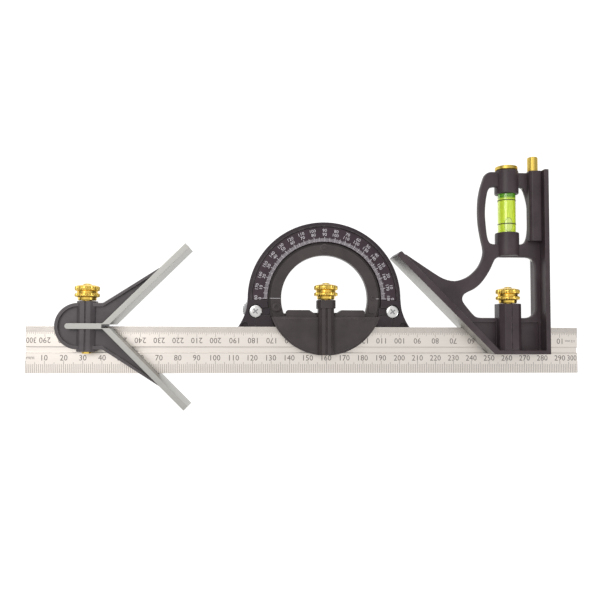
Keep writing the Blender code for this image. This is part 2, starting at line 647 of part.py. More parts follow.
def large_opening():
    """The finger opening round the clamp nut: three straight sides joined by two corners and a sweep."""
    upper_corner = smooth([(-10.0, 38.7), (-7.6, 38.1), (-5.9, 36.0), (-5.2, 33.5)])
    lower_corner = smooth([(-5.0, 10.5), (-5.3, 8.9), (-6.4, 7.2), (-8.3, 5.8), (-10.5, 5.3)])
    sweep = smooth([(-35.5, 5.3), (-38.0, 5.7), (-40.0, 7.2), (-43.5, 11.3), (-45.4, 14.0), (-45.8, 15.9),
                    (-45.0, 17.8), (-43.1, 19.2), (-39.5, 20.9), (-36.0, 23.6), (-32.8, 27.5),
                    (-30.0, 32.1), (-28.4, 35.6), (-27.2, 37.6), (-25.5, 38.7)], 2)
    return upper_corner + lower_corner + sweep


def vial_opening():
    """The window round the vial, bowed out on both sides."""
    handle_side = smooth([(-27.8, 77.7), (-29.6, 77.2), (-30.8, 75.9), (-31.6, 73.2), (-32.4, 67.9),
                          (-32.7, 62.6), (-32.4, 57.3), (-31.8, 51.3), (-31.0, 47.9), (-30.0, 46.4),
                          (-28.2, 45.9)], 2)
    face_side = smooth([(-13.2, 45.9), (-11.2, 46.5), (-10.0, 47.9), (-9.0, 51.0), (-8.5, 56.4),
                        (-8.3, 61.7), (-8.7, 67.8), (-9.8, 72.8), (-10.9, 76.0), (-12.0, 77.3),
                        (-13.2, 77.7)], 2)
    return handle_side + face_side


def panel(side):
    """The sunk panel on one side of the clamp boss."""
    top = PANEL_TOP
    foot = SQUARE_FOOT + FOOT_RIM
    boss_half = SQUARE_BOSS_WIDTH / 2 + 1.0
    if side > 0:
        left, right = -SQUARE_CLAMP_BACK + boss_half, -FACE_STRIP - 1.0
        return [(left, foot), (right, foot), (right, top), (left, top)]
    right = -SQUARE_CLAMP_BACK - boss_half + 0.6
    edge = -MITRE_START + FLANGE / ROOT_HALF + SQUARE_FOOT
    return [(right, foot), (right, top), (edge - top + 0.4, top), (min(edge - foot, right - 0.4), foot)]


def scriber_section():
    """The (x, z) section of the boss that the scriber stands in."""
    half = SCRIBER_BOSS_WIDTH / 2
    foot = WEB_FRONT - 1.0
    shoulder = SCRIBER_Z + 4.2
    chamfer = 1.3
    return [(-half, foot), (-half, shoulder), (-half + chamfer, shoulder + chamfer),
            (half - chamfer, shoulder + chamfer), (half, shoulder), (half, foot)]


def make_square_head(root):
    head = anchor("square_head_origin", root, (SQUARE_HEAD_AT - RULE_LENGTH / 2, 0.0, 0.0))
    vial_x = -VIAL_BACK
    clamp_x = -SQUARE_CLAMP_BACK
    scriber_x = -SCRIBER_BACK
    casting = place("square_head", slab([square_outline()], WEB_FRONT - WEB_THICKNESS, WEB_FRONT), head)
    cut(casting,
        slab([large_opening()], -PAST, HEAD_DEPTH + PAST),
        slab([vial_opening()], -PAST, HEAD_DEPTH + PAST),
        slab([panel(-1)], WEB_FRONT - PANEL_SINK, HEAD_DEPTH),
        slab([panel(1)], WEB_FRONT - PANEL_SINK, HEAD_DEPTH))
    join(casting,
         slab([square_border()], 0.0, HEAD_DEPTH),
         beam(clamp_section(SQUARE_BOSS_WIDTH, SQUARE_BOSS_FRONT), clamp_x,
              SQUARE_FOOT + 1.0, SQUARE_BOSS_TOP),
         beam(scriber_section(), scriber_x, SCRIBER_BOSS_FOOT, SCRIBER_BOSS_TOP))
    for low, high in (SLEEVE_LOW, SLEEVE_HIGH):
        join(casting, rod(SLEEVE_RADIUS, (vial_x, low, MID_DEPTH), (vial_x, high, MID_DEPTH), 36))
    cut(casting,
        rod(VIAL_RADIUS + GAP, (vial_x, VIAL_LOW - GAP, MID_DEPTH),
            (vial_x, SLEEVE_HIGH[1] + PAST, MID_DEPTH), 36),
        rod(SCRIBER_RADIUS + GAP, (scriber_x, SCRIBER_TOP - SCRIBER_LENGTH - 1.0, SCRIBER_Z),
            (scriber_x, SQUARE_HEIGHT + PAST, SCRIBER_Z), 20),
        rule_slot(-100.0, PAST, SQUARE_FOOT - PAST, GAP))
    open_clamp(casting, clamp_x, 0.0, SQUARE_FOOT, SQUARE_BOSS_TOP)
    paint(casting, CASTING_PAINT, 0.45)
    shade(casting)
    clamp("square_head", head, clamp_x, 0.0, TONGUE_TOP - TONGUE_HEIGHT - 0.4, SQUARE_BOSS_TOP)
    make_vial(head, vial_x)
    make_scriber(head, scriber_x)


def make_vial(head, x):
    inner = VIAL_RADIUS - VIAL_WALL
    length = VIAL_TOP - VIAL_LOW
    wall = [(inner, length), (VIAL_RADIUS - 0.3, length), (VIAL_RADIUS, length - 0.3),
            (VIAL_RADIUS, 0.3), (VIAL_RADIUS - 0.3, 0.0), (inner, 0.0)]
    tube = turned("vial_tube", wall, head, (x, VIAL_LOW, MID_DEPTH))
    paint(tube, (0.75, 0.90, 0.25), 0.08, 0.0, 0.35)
    shade(tube)
    plug_height = VIAL_PLUG_HEIGHT
    fluid_low = VIAL_LOW + plug_height + GAP
    fluid_top = VIAL_TOP - plug_height - GAP
    fluid = place("vial_fluid", rod(inner - GAP, (x, fluid_low, MID_DEPTH), (x, fluid_top, MID_DEPTH)), head)
    paint(fluid, (0.62, 0.85, 0.12), 0.1)
    shade(fluid)
    ends = (("vial_plug_low", VIAL_LOW, VIAL_LOW + plug_height),
            ("vial_plug_top", VIAL_TOP - plug_height, VIAL_TOP))
    for name, low, high in ends:
        plug = place(name, rod(inner - GAP, (x, low, MID_DEPTH), (x, high, MID_DEPTH)), head)
        paint(plug, (0.85, 0.85, 0.80), 0.5)
        shade(plug)
    seat = SLEEVE_HIGH[1] + GAP
    spigot = VIAL_TOP + GAP
    edge = 0.5
    spigot_radius = VIAL_RADIUS - 0.2
    profile = [(0.0, CAP_HEIGHT), (CAP_RADIUS - edge, CAP_HEIGHT), (CAP_RADIUS, CAP_HEIGHT - edge),
               (CAP_RADIUS, 0.0), (spigot_radius, 0.0), (spigot_radius, spigot - seat), (0.0, spigot - seat)]
    cap = turned("vial_cap", profile, head, (x, seat, MID_DEPTH))
    paint(cap, BRASS, 0.3, 1.0)
    shade(cap)


def make_scriber(head, x):
    """A knurled brass head on a hardened steel point."""
    base = SCRIBER_BOSS_TOP + GAP
    rise = SCRIBER_TOP - base
    top = SCRIBER_HEAD_RADIUS
    socket = SCRIBER_RADIUS + GAP
    profile = [(0.0, rise), (top - 0.4, rise), (top, rise - 0.4), (top, 0.4), (top - 0.4, 0.0),
               (socket, 0.0), (socket, SCRIBER_SOCKET), (0.0, SCRIBER_SOCKET)]
    knob = turned("scriber_head", profile, head, (x, base, SCRIBER_Z), sides=28)
    paint(knob, BRASS, 0.3, 1.0)
    shade(knob)
    low = SCRIBER_TOP - SCRIBER_LENGTH
    needle_top = base + SCRIBER_SOCKET - GAP
    point = [(0.0, needle_top), (SCRIBER_RADIUS, needle_top), (SCRIBER_RADIUS, low + SCRIBER_POINT),
             (0.2, low), (0.0, low)]
    needle = turned("scriber_needle", point, head, (x, 0.0, SCRIBER_Z), sides=20)
    paint(needle, GROUND_STEEL, 0.25, 1.0)
    shade(needle)


def main():
    root = anchor(f"{SET_NAME}_root", None, (0.0, -MID_Y, 0.0))
    make_rule(root)
    make_centre_head(root)
    make_protractor(root)
    make_square_head(root)


main()
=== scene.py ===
# %% [markdown]
# # A combination square set on a light table
#
# The set is a steel rule that carries three sliding heads: a square head with a spirit vial and a
# scriber, a protractor head, and a centre head. This lesson builds each piece over a fixed frame that
# already knows how the heads slide and turn, so every new piece only has to sit in the right place
# and say which moving body it rides on.

# %% Load the frame
import math

import bmesh
import bpy
from mathutils import Matrix, Vector


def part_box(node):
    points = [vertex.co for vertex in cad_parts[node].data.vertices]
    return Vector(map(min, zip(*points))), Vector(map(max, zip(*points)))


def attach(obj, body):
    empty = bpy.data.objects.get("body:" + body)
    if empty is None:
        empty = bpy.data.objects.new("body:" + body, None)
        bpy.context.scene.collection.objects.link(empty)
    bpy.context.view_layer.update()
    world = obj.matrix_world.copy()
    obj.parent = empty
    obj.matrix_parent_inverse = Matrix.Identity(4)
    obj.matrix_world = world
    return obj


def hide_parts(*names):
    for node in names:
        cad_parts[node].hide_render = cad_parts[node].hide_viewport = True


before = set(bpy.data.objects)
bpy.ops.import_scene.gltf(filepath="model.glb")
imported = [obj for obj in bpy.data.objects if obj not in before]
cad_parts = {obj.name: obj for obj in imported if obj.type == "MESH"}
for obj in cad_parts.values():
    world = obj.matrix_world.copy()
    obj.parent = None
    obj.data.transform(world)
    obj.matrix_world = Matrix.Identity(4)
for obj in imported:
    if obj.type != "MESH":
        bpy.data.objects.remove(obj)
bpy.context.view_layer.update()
print("nodes:", sorted(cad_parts))

# %% [markdown]
# ## Sizes
#
# Drawings of tools like this are read in millimetres, so the lesson keeps millimetres and turns them
# into metres at the last moment. Each head has its own origin: a reading along the rule, and a height
# above the rule's upper edge. The rule's own box from the frame says where that edge is.

# %% Where the heads stand
MM = 0.001
rule_low, rule_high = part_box("rule")
RULE_START = rule_low.x / MM
RULE_EDGE = rule_high.y / MM
RULE_LENGTH = (rule_high.x - rule_low.x) / MM
RULE_WIDTH = (rule_high.y - rule_low.y) / MM
RULE_BACK = rule_low.z / MM
RULE_FRONT = rule_high.z / MM
GAP = 0.3
CENTRE_AT = (44.8, 0.0)
TURRET_AT = (159.2, 15.6)
SQUARE_AT = (280.2, 0.0)
print(f"rule {RULE_LENGTH:.0f} x {RULE_WIDTH:.0f} mm, its front face {RULE_FRONT:.1f} mm above the table")

# %% [markdown]
# ## Tools for shaping
#
# Most of these pieces are flat outlines given a thickness. In Blender that is: put vertices round the
# outline, fill it, extrude the face, and bevel the rim so that light catches it. Round pieces are a
# profile spun about an axis. The helpers below do both with bmesh operators, and hand back a mesh.

# %% Finish a bmesh
DOUBLES = 1e-7


def as_mesh(shape):
    """Hand a bmesh back as a mesh, just as it is."""
    mesh = bpy.data.meshes.new("shape")
    shape.to_mesh(mesh)
    shape.free()
    return mesh


def finished(shape):
    """Merge doubles, turn the faces out and hand the shape back as a mesh."""
    bmesh.ops.remove_doubles(shape, verts=shape.verts, dist=DOUBLES)
    bmesh.ops.recalc_face_normals(shape, faces=shape.faces)
    return as_mesh(shape)


def soften(shape, width, segments=2, sharper_than=38.0):
    """Bevel every edge that turns by more than an angle."""
    limit = math.radians(sharper_than)
    edges = [edge for edge in shape.edges
             if len(edge.link_faces) == 2 and edge.calc_face_angle(0.0) > limit]
    bmesh.ops.bevel(shape, geom=edges, offset=width * MM, offset_type="OFFSET", segments=segments,
                    profile=0.5, affect="EDGES", clamp_overlap=True, material=-1)


# %% Outlines made solid
def plate(loops, low, high, edge=0.0):
    """A flat outline, with any holes in it, made solid between two heights and softened."""
    shape = bmesh.new()
    for loop in loops:
        ring = [shape.verts.new((x * MM, y * MM, low * MM)) for x, y in loop]
        for here, there in zip(ring, ring[1:] + ring[:1]):
            shape.edges.new((here, there))
    bmesh.ops.triangle_fill(shape, edges=shape.edges, use_beauty=True, use_dissolve=False)
    bmesh.ops.dissolve_limit(shape, angle_limit=0.01, verts=[], edges=shape.edges,
                             use_dissolve_boundaries=False)
    made = bmesh.ops.extrude_face_region(shape, geom=shape.faces[:])
    top = [item for item in made["geom"] if isinstance(item, bmesh.types.BMVert)]
    bmesh.ops.translate(shape, verts=top, vec=(0.0, 0.0, (high - low) * MM))
    bmesh.ops.recalc_face_normals(shape, faces=shape.faces)
    if edge:
        soften(shape, edge)
    return finished(shape)


def block(low, high, edge=0.0):
    """A softened block between two opposite corners."""
    shape = bmesh.new()
    bmesh.ops.create_cube(shape, size=1.0)
    bmesh.ops.scale(shape, vec=[(b - a) * MM for a, b in zip(low, high)], verts=shape.verts)
    bmesh.ops.translate(shape, vec=[(a + b) / 2 * MM for a, b in zip(low, high)], verts=shape.verts)
    if edge:
        soften(shape, edge)
    return finished(shape)


def column(section, x, low, high, edge=0.0):
    """An (x, z) section run along Y, centred on x."""
    mesh = plate([[(across, -up) for across, up in section]], low, high, edge)
    mesh.transform(Matrix.Translation((x * MM, 0.0, 0.0)) @ Matrix.Rotation(math.radians(-90), 4, "X"))
    return mesh


# %% Round pieces
def spun(profile, at, standing="Y", steps=48, closed=False):
    """(radius, height) points spun about an axis that stands on a point. Ends on the axis are welded."""
    shape = bmesh.new()
    ring = [shape.verts.new((radius * MM, 0.0, height * MM)) for radius, height in profile]
    for here, there in zip(ring, ring[1:]):
        shape.edges.new((here, there))
    if closed:
        shape.edges.new((ring[-1], ring[0]))
    bmesh.ops.spin(shape, geom=shape.verts[:] + shape.edges[:], cent=(0.0, 0.0, 0.0), axis=(0.0, 0.0, 1.0),
                   dvec=(0.0, 0.0, 0.0), angle=math.tau, steps=steps, use_merge=True, use_duplicate=False)
    mesh = finished(shape)
    turn = Matrix.Rotation(math.radians(-90 if standing == "Y" else 0), 4, "X")
    mesh.transform(Matrix.Translation([value * MM for value in at]) @ turn)
    return mesh


def rod(radius, at, height, standing="Y", steps=48, edge=0.0):
    """A cylinder with softened rims that stands on a point."""
    if edge:
        profile = [(0.0, 0.0), (radius - edge, 0.0), (radius - edge * 0.3, edge * 0.3), (radius, edge),
                   (radius, height - edge), (radius - edge * 0.3, height - edge * 0.3),
                   (radius - edge, height), (0.0, height)]
    else:
        profile = [(0.0, 0.0), (radius, 0.0), (radius, height), (0.0, height)]
    return spun(profile, at, standing, steps)


# %% Points for outlines
def arc(centre, radius, first, last, steps):
    """Points round a circle, from one angle to another in degrees."""
    angles = [math.radians(first + (last - first) * step / steps) for step in range(steps + 1)]
    return [(centre[0] + radius * math.cos(a), centre[1] + radius * math.sin(a)) for a in angles]


def flowing(points, steps=4):
    """A Catmull-Rom curve through the points, open at both ends."""
    knots = [Vector(point) for point in points]
    padded = [2 * knots[0] - knots[1], *knots, 2 * knots[-1] - knots[-2]]
    curve = []
    for a, b, c, d in zip(padded, padded[1:], padded[2:], padded[3:]):
        for step in range(steps):
            t = step / steps
            curve.append(tuple((2 * b + (c - a) * t + (2 * a - 5 * b + 4 * c - d) * t ** 2
                                + (3 * b - a - 3 * c + d) * t ** 3) / 2))
    return curve + [tuple(knots[-1])]


# %% Join and cut
def worked(mesh, *steps):
    """Add and cut shapes in turn: each step is ("UNION" or "DIFFERENCE", mesh, mesh, ...)."""
    collection = bpy.context.scene.collection
    base = bpy.data.objects.new("work", mesh)
    collection.objects.link(base)
    tools = []
    for operation, *meshes in steps:
        for shape in meshes:
            tool = bpy.data.objects.new("tool", shape)
            collection.objects.link(tool)
            tools.append(tool)
            step = base.modifiers.new(operation, "BOOLEAN")
            step.operation = operation
            step.solver = "EXACT"
            step.object = tool
    depsgraph = bpy.context.evaluated_depsgraph_get()
    result = bpy.data.meshes.new_from_object(base.evaluated_get(depsgraph))
    for thing in tools + [base]:
        bpy.data.objects.remove(thing, do_unlink=True)
    return result


# %% Put a piece on its body
def piece(name, mesh, at, body, material, node=None, angle=34.0):
    """Place a mesh at its head's origin, ride it on a body and hide the CAD node it stands in for."""
    mesh.transform(Matrix.Translation(((RULE_START + at[0]) * MM, (RULE_EDGE + at[1]) * MM, 0.0)))
    mesh.name = name
    thing = bpy.data.objects.new(name, mesh)
    bpy.context.scene.collection.objects.link(thing)
    mesh.shade_smooth()
    mesh.set_sharp_from_angle(angle=math.radians(angle))
    flat = thing.modifiers.new("even shading", "WEIGHTED_NORMAL")
    flat.keep_sharp = True
    for finish in (material if isinstance(material, (list, tuple)) else [material]):
        mesh.materials.append(finish)
    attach(thing, body)
    if node:
        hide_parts(node)
    print(f"{name}: {len(mesh.polygons)} faces on {body}")
    return thing


def second_finish(mesh, wanted):
    """Give the faces that a test picks the second material: it sees a middle in mm and a normal."""
    count = 0
    for face in mesh.polygons:
        if wanted(face.center / MM, face.normal):
            face.material_index = 1
            count += 1
    print(f"  {count} faces take the second finish")


# %% [markdown]
# ## Shared effects
#
# Cast iron under satin paint, ground steel and turned brass differ in colour, but wear, grain and
# brush lines work the same way on each. Each effect is a node group with its own inputs, built once.
# A group only hands on colours and values: the Principled shader stays in the material.

# %% A small kit for node groups
def new_group(name, inputs, outputs):
    """An empty node group: inputs are (name, type, default) and outputs are (name, type)."""
    group = bpy.data.node_groups.new(name, "ShaderNodeTree")
    for label, kind, value in inputs:
        socket = group.interface.new_socket(name=label, in_out="INPUT", socket_type=kind)
        socket.default_value = value
    for label, kind in outputs:
        group.interface.new_socket(name=label, in_out="OUTPUT", socket_type=kind)
    return group, group.nodes.new("NodeGroupInput"), group.nodes.new("NodeGroupOutput")


def node(tree, kind, settings=None, **inputs):
    """Add a node, set its options, and set or link its inputs by name or number."""
    made = tree.nodes.new(kind)
    for key, value in (settings or {}).items():
        setattr(made, key, value)
    for key, value in inputs.items():
        socket = made.inputs[int(key[1:])] if key[0] == "_" else made.inputs[key.replace("_", " ")]
        if isinstance(value, bpy.types.NodeSocket):
            tree.links.new(value, socket)
        else:
            socket.default_value = value
    return made


def object_noise(tree, scale, detail, roughness=0.5):
    """The value of a noise over the piece's own coordinates."""
    place = node(tree, "ShaderNodeTexCoord")
    made = node(tree, "ShaderNodeTexNoise", {}, Vector=place.outputs["Object"], Scale=scale,
                Detail=detail, Roughness=roughness)
    return made.outputs["Fac"]


def two_tone(tree, mask, first, second):
    """One colour where a mask is 0 and another where it is 1."""
    made = node(tree, "ShaderNodeMix", {"data_type": "RGBA"}, _0=mask, _6=first, _7=second)
    return made.outputs[2]


def spread(tree, value, limits, curve="LINEAR"):
    """Stretch a value: limits are from low, from high, to low and to high."""
    made = node(tree, "ShaderNodeMapRange", {"interpolation_type": curve}, Value=value)
    for index, limit in enumerate(limits, start=1):
        made.inputs[index].default_value = limit
    return made.outputs["Result"]


FLOAT, COLOUR, VECTOR = "NodeSocketFloat", "NodeSocketColor", "NodeSocketVector"


# %% [markdown]
# ### Worn edges
#
# Paint rubs thin where a corner meets a bench or a hand. A Bevel node looks up a rounded normal near
# each point: where it differs from the true normal, the point is close to an edge. A noise breaks the
# line up so that the wear is uneven.

# %% Worn edges group
def edge_wear_group():
    """A mask that is strongest along corners and broken up by a noise."""
    group, given, out = new_group("worn_edges", [("Radius", FLOAT, 0.0004), ("Breakup", FLOAT, 300.0),
                                                ("Amount", FLOAT, 1.0)], [("Mask", FLOAT)])
    near = node(group, "ShaderNodeBevel", {"samples": 4}, Radius=given.outputs["Radius"])
    true = node(group, "ShaderNodeNewGeometry")
    same = node(group, "ShaderNodeVectorMath", {"operation": "DOT_PRODUCT"},
                _0=near.outputs["Normal"], _1=true.outputs["Normal"])
    turned = spread(group, same.outputs["Value"], (0.995, 0.86, 0.0, 1.0))
    patchy = object_noise(group, given.outputs["Breakup"], 5.0, 0.65)
    broken = spread(group, patchy, (0.40, 0.62, 0.15, 1.0))
    both = node(group, "ShaderNodeMath", {"operation": "MULTIPLY"}, _0=turned, _1=broken)
    scaled = node(group, "ShaderNodeMath", {"operation": "MULTIPLY", "use_clamp": True},
                  _0=both.outputs["Value"], _1=given.outputs["Amount"])
    group.links.new(scaled.outputs["Value"], out.inputs["Mask"])
    return group


EDGE_WEAR = edge_wear_group()


# %% [markdown]
# ### Brush lines
#
# Grinding and turning leave fine parallel lines. Stretching a noise along one direction gives them:
# the Stretch input scales the coordinates, small along the lines and large across them. Slow clouds
# of a second noise vary the tone from place to place.

# %% Brush lines group
def brush_group():
    """Fine lines over slow clouds, as a colour, a roughness and a height."""
    group, given, out = new_group(
        "brush_lines", [("Stretch", VECTOR, (30.0, 3000.0, 300.0)), ("Tone", COLOUR, (0.5, 0.5, 0.5, 1.0)),
                        ("Shade", COLOUR, (0.3, 0.3, 0.3, 1.0)), ("Rough", FLOAT, 0.3),
                        ("Variation", FLOAT, 0.12)],
        [("Color", COLOUR), ("Roughness", FLOAT), ("Height", FLOAT)])
    place = node(group, "ShaderNodeTexCoord")
    scaled = node(group, "ShaderNodeVectorMath", {"operation": "MULTIPLY"},
                  _0=place.outputs["Object"], _1=given.outputs["Stretch"])
    lines = node(group, "ShaderNodeTexNoise", {}, Vector=scaled.outputs["Vector"], Scale=1.0,
                 Detail=4.0, Roughness=0.6)
    clouds = node(group, "ShaderNodeMath", {"operation": "MULTIPLY_ADD"},
                  _0=object_noise(group, 45.0, 3.0), _1=0.55, _2=-0.05)
    blend = node(group, "ShaderNodeMath", {"operation": "MULTIPLY_ADD", "use_clamp": True},
                 _0=lines.outputs["Fac"], _1=0.55, _2=clouds.outputs["Value"])
    tone = two_tone(group, blend.outputs["Value"], given.outputs["Shade"], given.outputs["Tone"])
    offset = node(group, "ShaderNodeMath", {"operation": "SUBTRACT"}, _0=blend.outputs["Value"], _1=0.5)
    rough = node(group, "ShaderNodeMath", {"operation": "MULTIPLY_ADD", "use_clamp": True},
                 _0=offset.outputs["Value"], _1=given.outputs["Variation"], _2=given.outputs["Rough"])
    group.links.new(tone, out.inputs["Color"])
    group.links.new(rough.outputs["Value"], out.inputs["Roughness"])
    group.links.new(lines.outputs["Fac"], out.inputs["Height"])
    return group


BRUSH = brush_group()


# %% [markdown]
# ### Cast and painted skin
#
# A casting keeps the grain of the sand it was poured in, softened by paint. Two noises make it: a fine
# one for the grain, which drives the bump, and a slow one for patches where the paint is thinner.

# %% Cast skin group
def cast_group():
    """Sand grain and patches of thinner paint, as a colour, a roughness and a height."""
    group, given, out = new_group(
        "cast_skin", [("Paint", COLOUR, (0.03, 0.03, 0.03, 1.0)), ("Thin", COLOUR, (0.06, 0.05, 0.05, 1.0)),
                      ("Grain", FLOAT, 1600.0), ("Rough", FLOAT, 0.42)],
        [("Color", COLOUR), ("Roughness", FLOAT), ("Height", FLOAT)])
    grain = object_noise(group, given.outputs["Grain"], 3.0, 0.6)
    patches = spread(group, object_noise(group, 70.0, 4.0, 0.6), (0.32, 0.70, 0.0, 1.0))
    colour = two_tone(group, patches, given.outputs["Paint"], given.outputs["Thin"])
    rough = node(group, "ShaderNodeMath", {"operation": "MULTIPLY_ADD"},
                 _0=grain, _1=0.16, _2=given.outputs["Rough"])
    group.links.new(colour, out.inputs["Color"])
    group.links.new(rough.outputs["Value"], out.inputs["Roughness"])
    group.links.new(grain, out.inputs["Height"])
    return group


CAST = cast_group()


# %% [markdown]
# ## Materials
#
# Each material places the groups with its own values. Metal is fully metallic and gets its look from
# what it reflects, so its roughness matters most. Paint is not metallic and lets the worn mask show a
# paler edge.

# %% Start a material
def new_material(name, metallic=0.0, **sockets):
    """A material and its tree, with plain values set on the Principled shader."""
    material = bpy.data.materials.new(name)
    material.use_nodes = True
    shader = material.node_tree.nodes["Principled BSDF"]
    shader.inputs["Metallic"].default_value = metallic
    for key, value in sockets.items():
        shader.inputs[key.replace("_", " ")].default_value = value
    return material, material.node_tree, shader


def place_group(tree, group, **inputs):
    """Put a node group in a material with its own values."""
    made = tree.nodes.new("ShaderNodeGroup")
    made.node_tree = group
    for key, value in inputs.items():
        made.inputs[key].default_value = value
    return made


def raise_grain(tree, shader, height, strength, distance):
    """Feed a height to the shader's normal through a Bump node."""
    bump = node(tree, "ShaderNodeBump", {}, Strength=strength, Distance=distance, Height=height)
    tree.links.new(bump.outputs["Normal"], shader.inputs["Normal"])


# %% Painted castings
GRAIN_HEIGHT = 0.00012
GRAIN_SCALE = 1500.0


def painted(name, paint, thin, worn, rough, wear=0.55):
    """Satin paint over cast iron, rubbed pale along its edges."""
    material, tree, shader = new_material(name, Specular_IOR_Level=0.34)
    skin = place_group(tree, CAST, Paint=(*paint, 1.0), Thin=(*thin, 1.0), Rough=rough, Grain=GRAIN_SCALE)
    edges = place_group(tree, EDGE_WEAR, Amount=wear)
    colour = two_tone(tree, edges.outputs["Mask"], skin.outputs["Color"], (*worn, 1.0))
    tree.links.new(colour, shader.inputs["Base Color"])
    tree.links.new(skin.outputs["Roughness"], shader.inputs["Roughness"])
    raise_grain(tree, shader, skin.outputs["Height"], 0.35, GRAIN_HEIGHT)
    return material


SQUARE_PAINT = painted("square_head_paint", (0.040, 0.027, 0.032), (0.066, 0.049, 0.054),
                       (0.24, 0.19, 0.20), 0.30)
TURRET_PAINT = painted("turret_paint", (0.038, 0.029, 0.030), (0.062, 0.050, 0.050),
                       (0.18, 0.15, 0.15), 0.32)
FRAME_PAINT = painted("frame_paint", (0.020, 0.012, 0.018), (0.036, 0.024, 0.031), (0.22, 0.20, 0.20), 0.34)
CENTRE_PAINT = painted("centre_head_paint", (0.074, 0.064, 0.070), (0.112, 0.099, 0.104),
                       (0.30, 0.28, 0.28), 0.32)
BAND_PAINT = painted("band_enamel", (0.024, 0.011, 0.019), (0.048, 0.028, 0.038),
                     (0.10, 0.09, 0.10), 0.34, 0.2)
print("painted finishes:", SQUARE_PAINT.name, TURRET_PAINT.name, FRAME_PAINT.name, CENTRE_PAINT.name)


# %% Ground and turned metals
LINE_HEIGHT = 0.00003


def metal(name, tone, shade, stretch, rough, variation=0.12, relief=0.25, wear=0.0, bright=(0.9, 0.9, 0.9)):
    """Bare metal with brush lines along the direction that Stretch keeps small."""
    material, tree, shader = new_material(name, 1.0)
    lines = place_group(tree, BRUSH, Stretch=stretch, Tone=(*tone, 1.0), Shade=(*shade, 1.0),
                        Rough=rough, Variation=variation)
    colour = lines.outputs["Color"]
    if wear:
        edges = place_group(tree, EDGE_WEAR, Amount=wear, Radius=0.00025)
        colour = two_tone(tree, edges.outputs["Mask"], colour, (*bright, 1.0))
    tree.links.new(colour, shader.inputs["Base Color"])
    tree.links.new(lines.outputs["Roughness"], shader.inputs["Roughness"])
    raise_grain(tree, shader, lines.outputs["Height"], relief, LINE_HEIGHT)
    return material


RULE_STEEL = metal("rule_steel", (0.83, 0.78, 0.73), (0.66, 0.62, 0.58), (25.0, 2600.0, 900.0), 0.38)
GROUND = metal("ground_iron", (0.52, 0.515, 0.49), (0.33, 0.33, 0.31), (420.0, 420.0, 60.0), 0.48, 0.2)
BRASS = metal("turned_brass", (0.92, 0.68, 0.16), (0.72, 0.46, 0.07), (500.0, 2200.0, 500.0), 0.20, 0.1,
              0.15, 0.5, (1.0, 0.86, 0.42))
CAP_BRASS = metal("cap_brass", (0.74, 0.56, 0.14), (0.54, 0.38, 0.07), (700.0, 700.0, 700.0), 0.38)
SCREW_STEEL = metal("screw_steel", (0.80, 0.80, 0.79), (0.55, 0.55, 0.55), (900.0, 900.0, 900.0), 0.25)
NEEDLE_STEEL = metal("needle_steel", (0.62, 0.62, 0.62), (0.42, 0.42, 0.43), (900.0, 60.0, 900.0), 0.24)
# Darker steel: the lock disc's own finish, and painted shade in the screws' cross recesses.
DARK_STEEL_AND_RECESS_SHADE = metal("lock_steel", (0.36, 0.36, 0.37), (0.22, 0.22, 0.23), (700.0, 700.0, 700.0), 0.36)
print("metal finishes:", RULE_STEEL.name, GROUND.name, BRASS.name)


# %% Inks
def ink(name, dark, light, rough=0.6):
    """Filled or printed marks: slightly uneven in tone, as paint wiped into a cut is."""
    material, tree, shader = new_material(name)
    colour = two_tone(tree, object_noise(tree, 900.0, 3.0, 0.6), (*dark, 1.0), (*light, 1.0))
    tree.links.new(colour, shader.inputs["Base Color"])
    shader.inputs["Roughness"].default_value = rough
    return material


RULE_INK = ink("rule_ink", (0.10, 0.085, 0.08), (0.20, 0.17, 0.16))
WHITE_INK = ink("dial_ink", (0.42, 0.40, 0.44), (0.85, 0.82, 0.86))
DARK_INK = ink("recess_ink", (0.010, 0.008, 0.009), (0.022, 0.018, 0.020))


# %% Vial tube and liquid
ACRYLIC_IOR = 1.49
FLUID_IOR = 1.40
SLEEVE_EDGE = 73.6


def clear_plastic(name, colour, rough):
    """Clear acrylic tube: transmission and metallic stay plain values."""
    material, tree, shader = new_material(name, Transmission_Weight=1.0, IOR=ACRYLIC_IOR)
    haze = object_noise(tree, 160.0, 3.0)
    clearer = tuple(min(1.0, channel * 1.12) for channel in colour)
    tint = two_tone(tree, haze, (*colour, 1.0), (*clearer, 1.0))
    tree.links.new(tint, shader.inputs["Base Color"])
    level = node(tree, "ShaderNodeMath", {"operation": "MULTIPLY_ADD"}, _0=haze, _1=0.05, _2=rough)
    tree.links.new(level.outputs["Value"], shader.inputs["Roughness"])
    return material


def glowing_fluid(name, bright, deep):
    """Liquid with a painted glow for the light it catches, and painted shade under the upper sleeve."""
    # The emission is a painted glow: the liquid is no lamp.
    material, tree, shader = new_material(name, Roughness=0.12, IOR=FLUID_IOR, Emission_Strength=0.44)
    place = node(tree, "ShaderNodeTexCoord")
    parts = node(tree, "ShaderNodeSeparateXYZ", {}, Vector=place.outputs["Object"])
    # Painted shade: the liquid turns to its second colour where it runs under the upper sleeve.
    top = (RULE_EDGE + SLEEVE_EDGE) * MM
    depth = spread(tree, parts.outputs["Y"], (top - 0.0030, top - 0.0012, 0.0, 1.0), "SMOOTHSTEP")
    level = node(tree, "ShaderNodeMath", {"operation": "MULTIPLY_ADD", "use_clamp": True},
                 _0=object_noise(tree, 120.0, 2.0), _1=0.16, _2=depth)
    colour = two_tone(tree, level.outputs["Value"], (*bright, 1.0), (*deep, 1.0))
    tree.links.new(colour, shader.inputs["Base Color"])
    tree.links.new(colour, shader.inputs["Emission Color"])
    return material


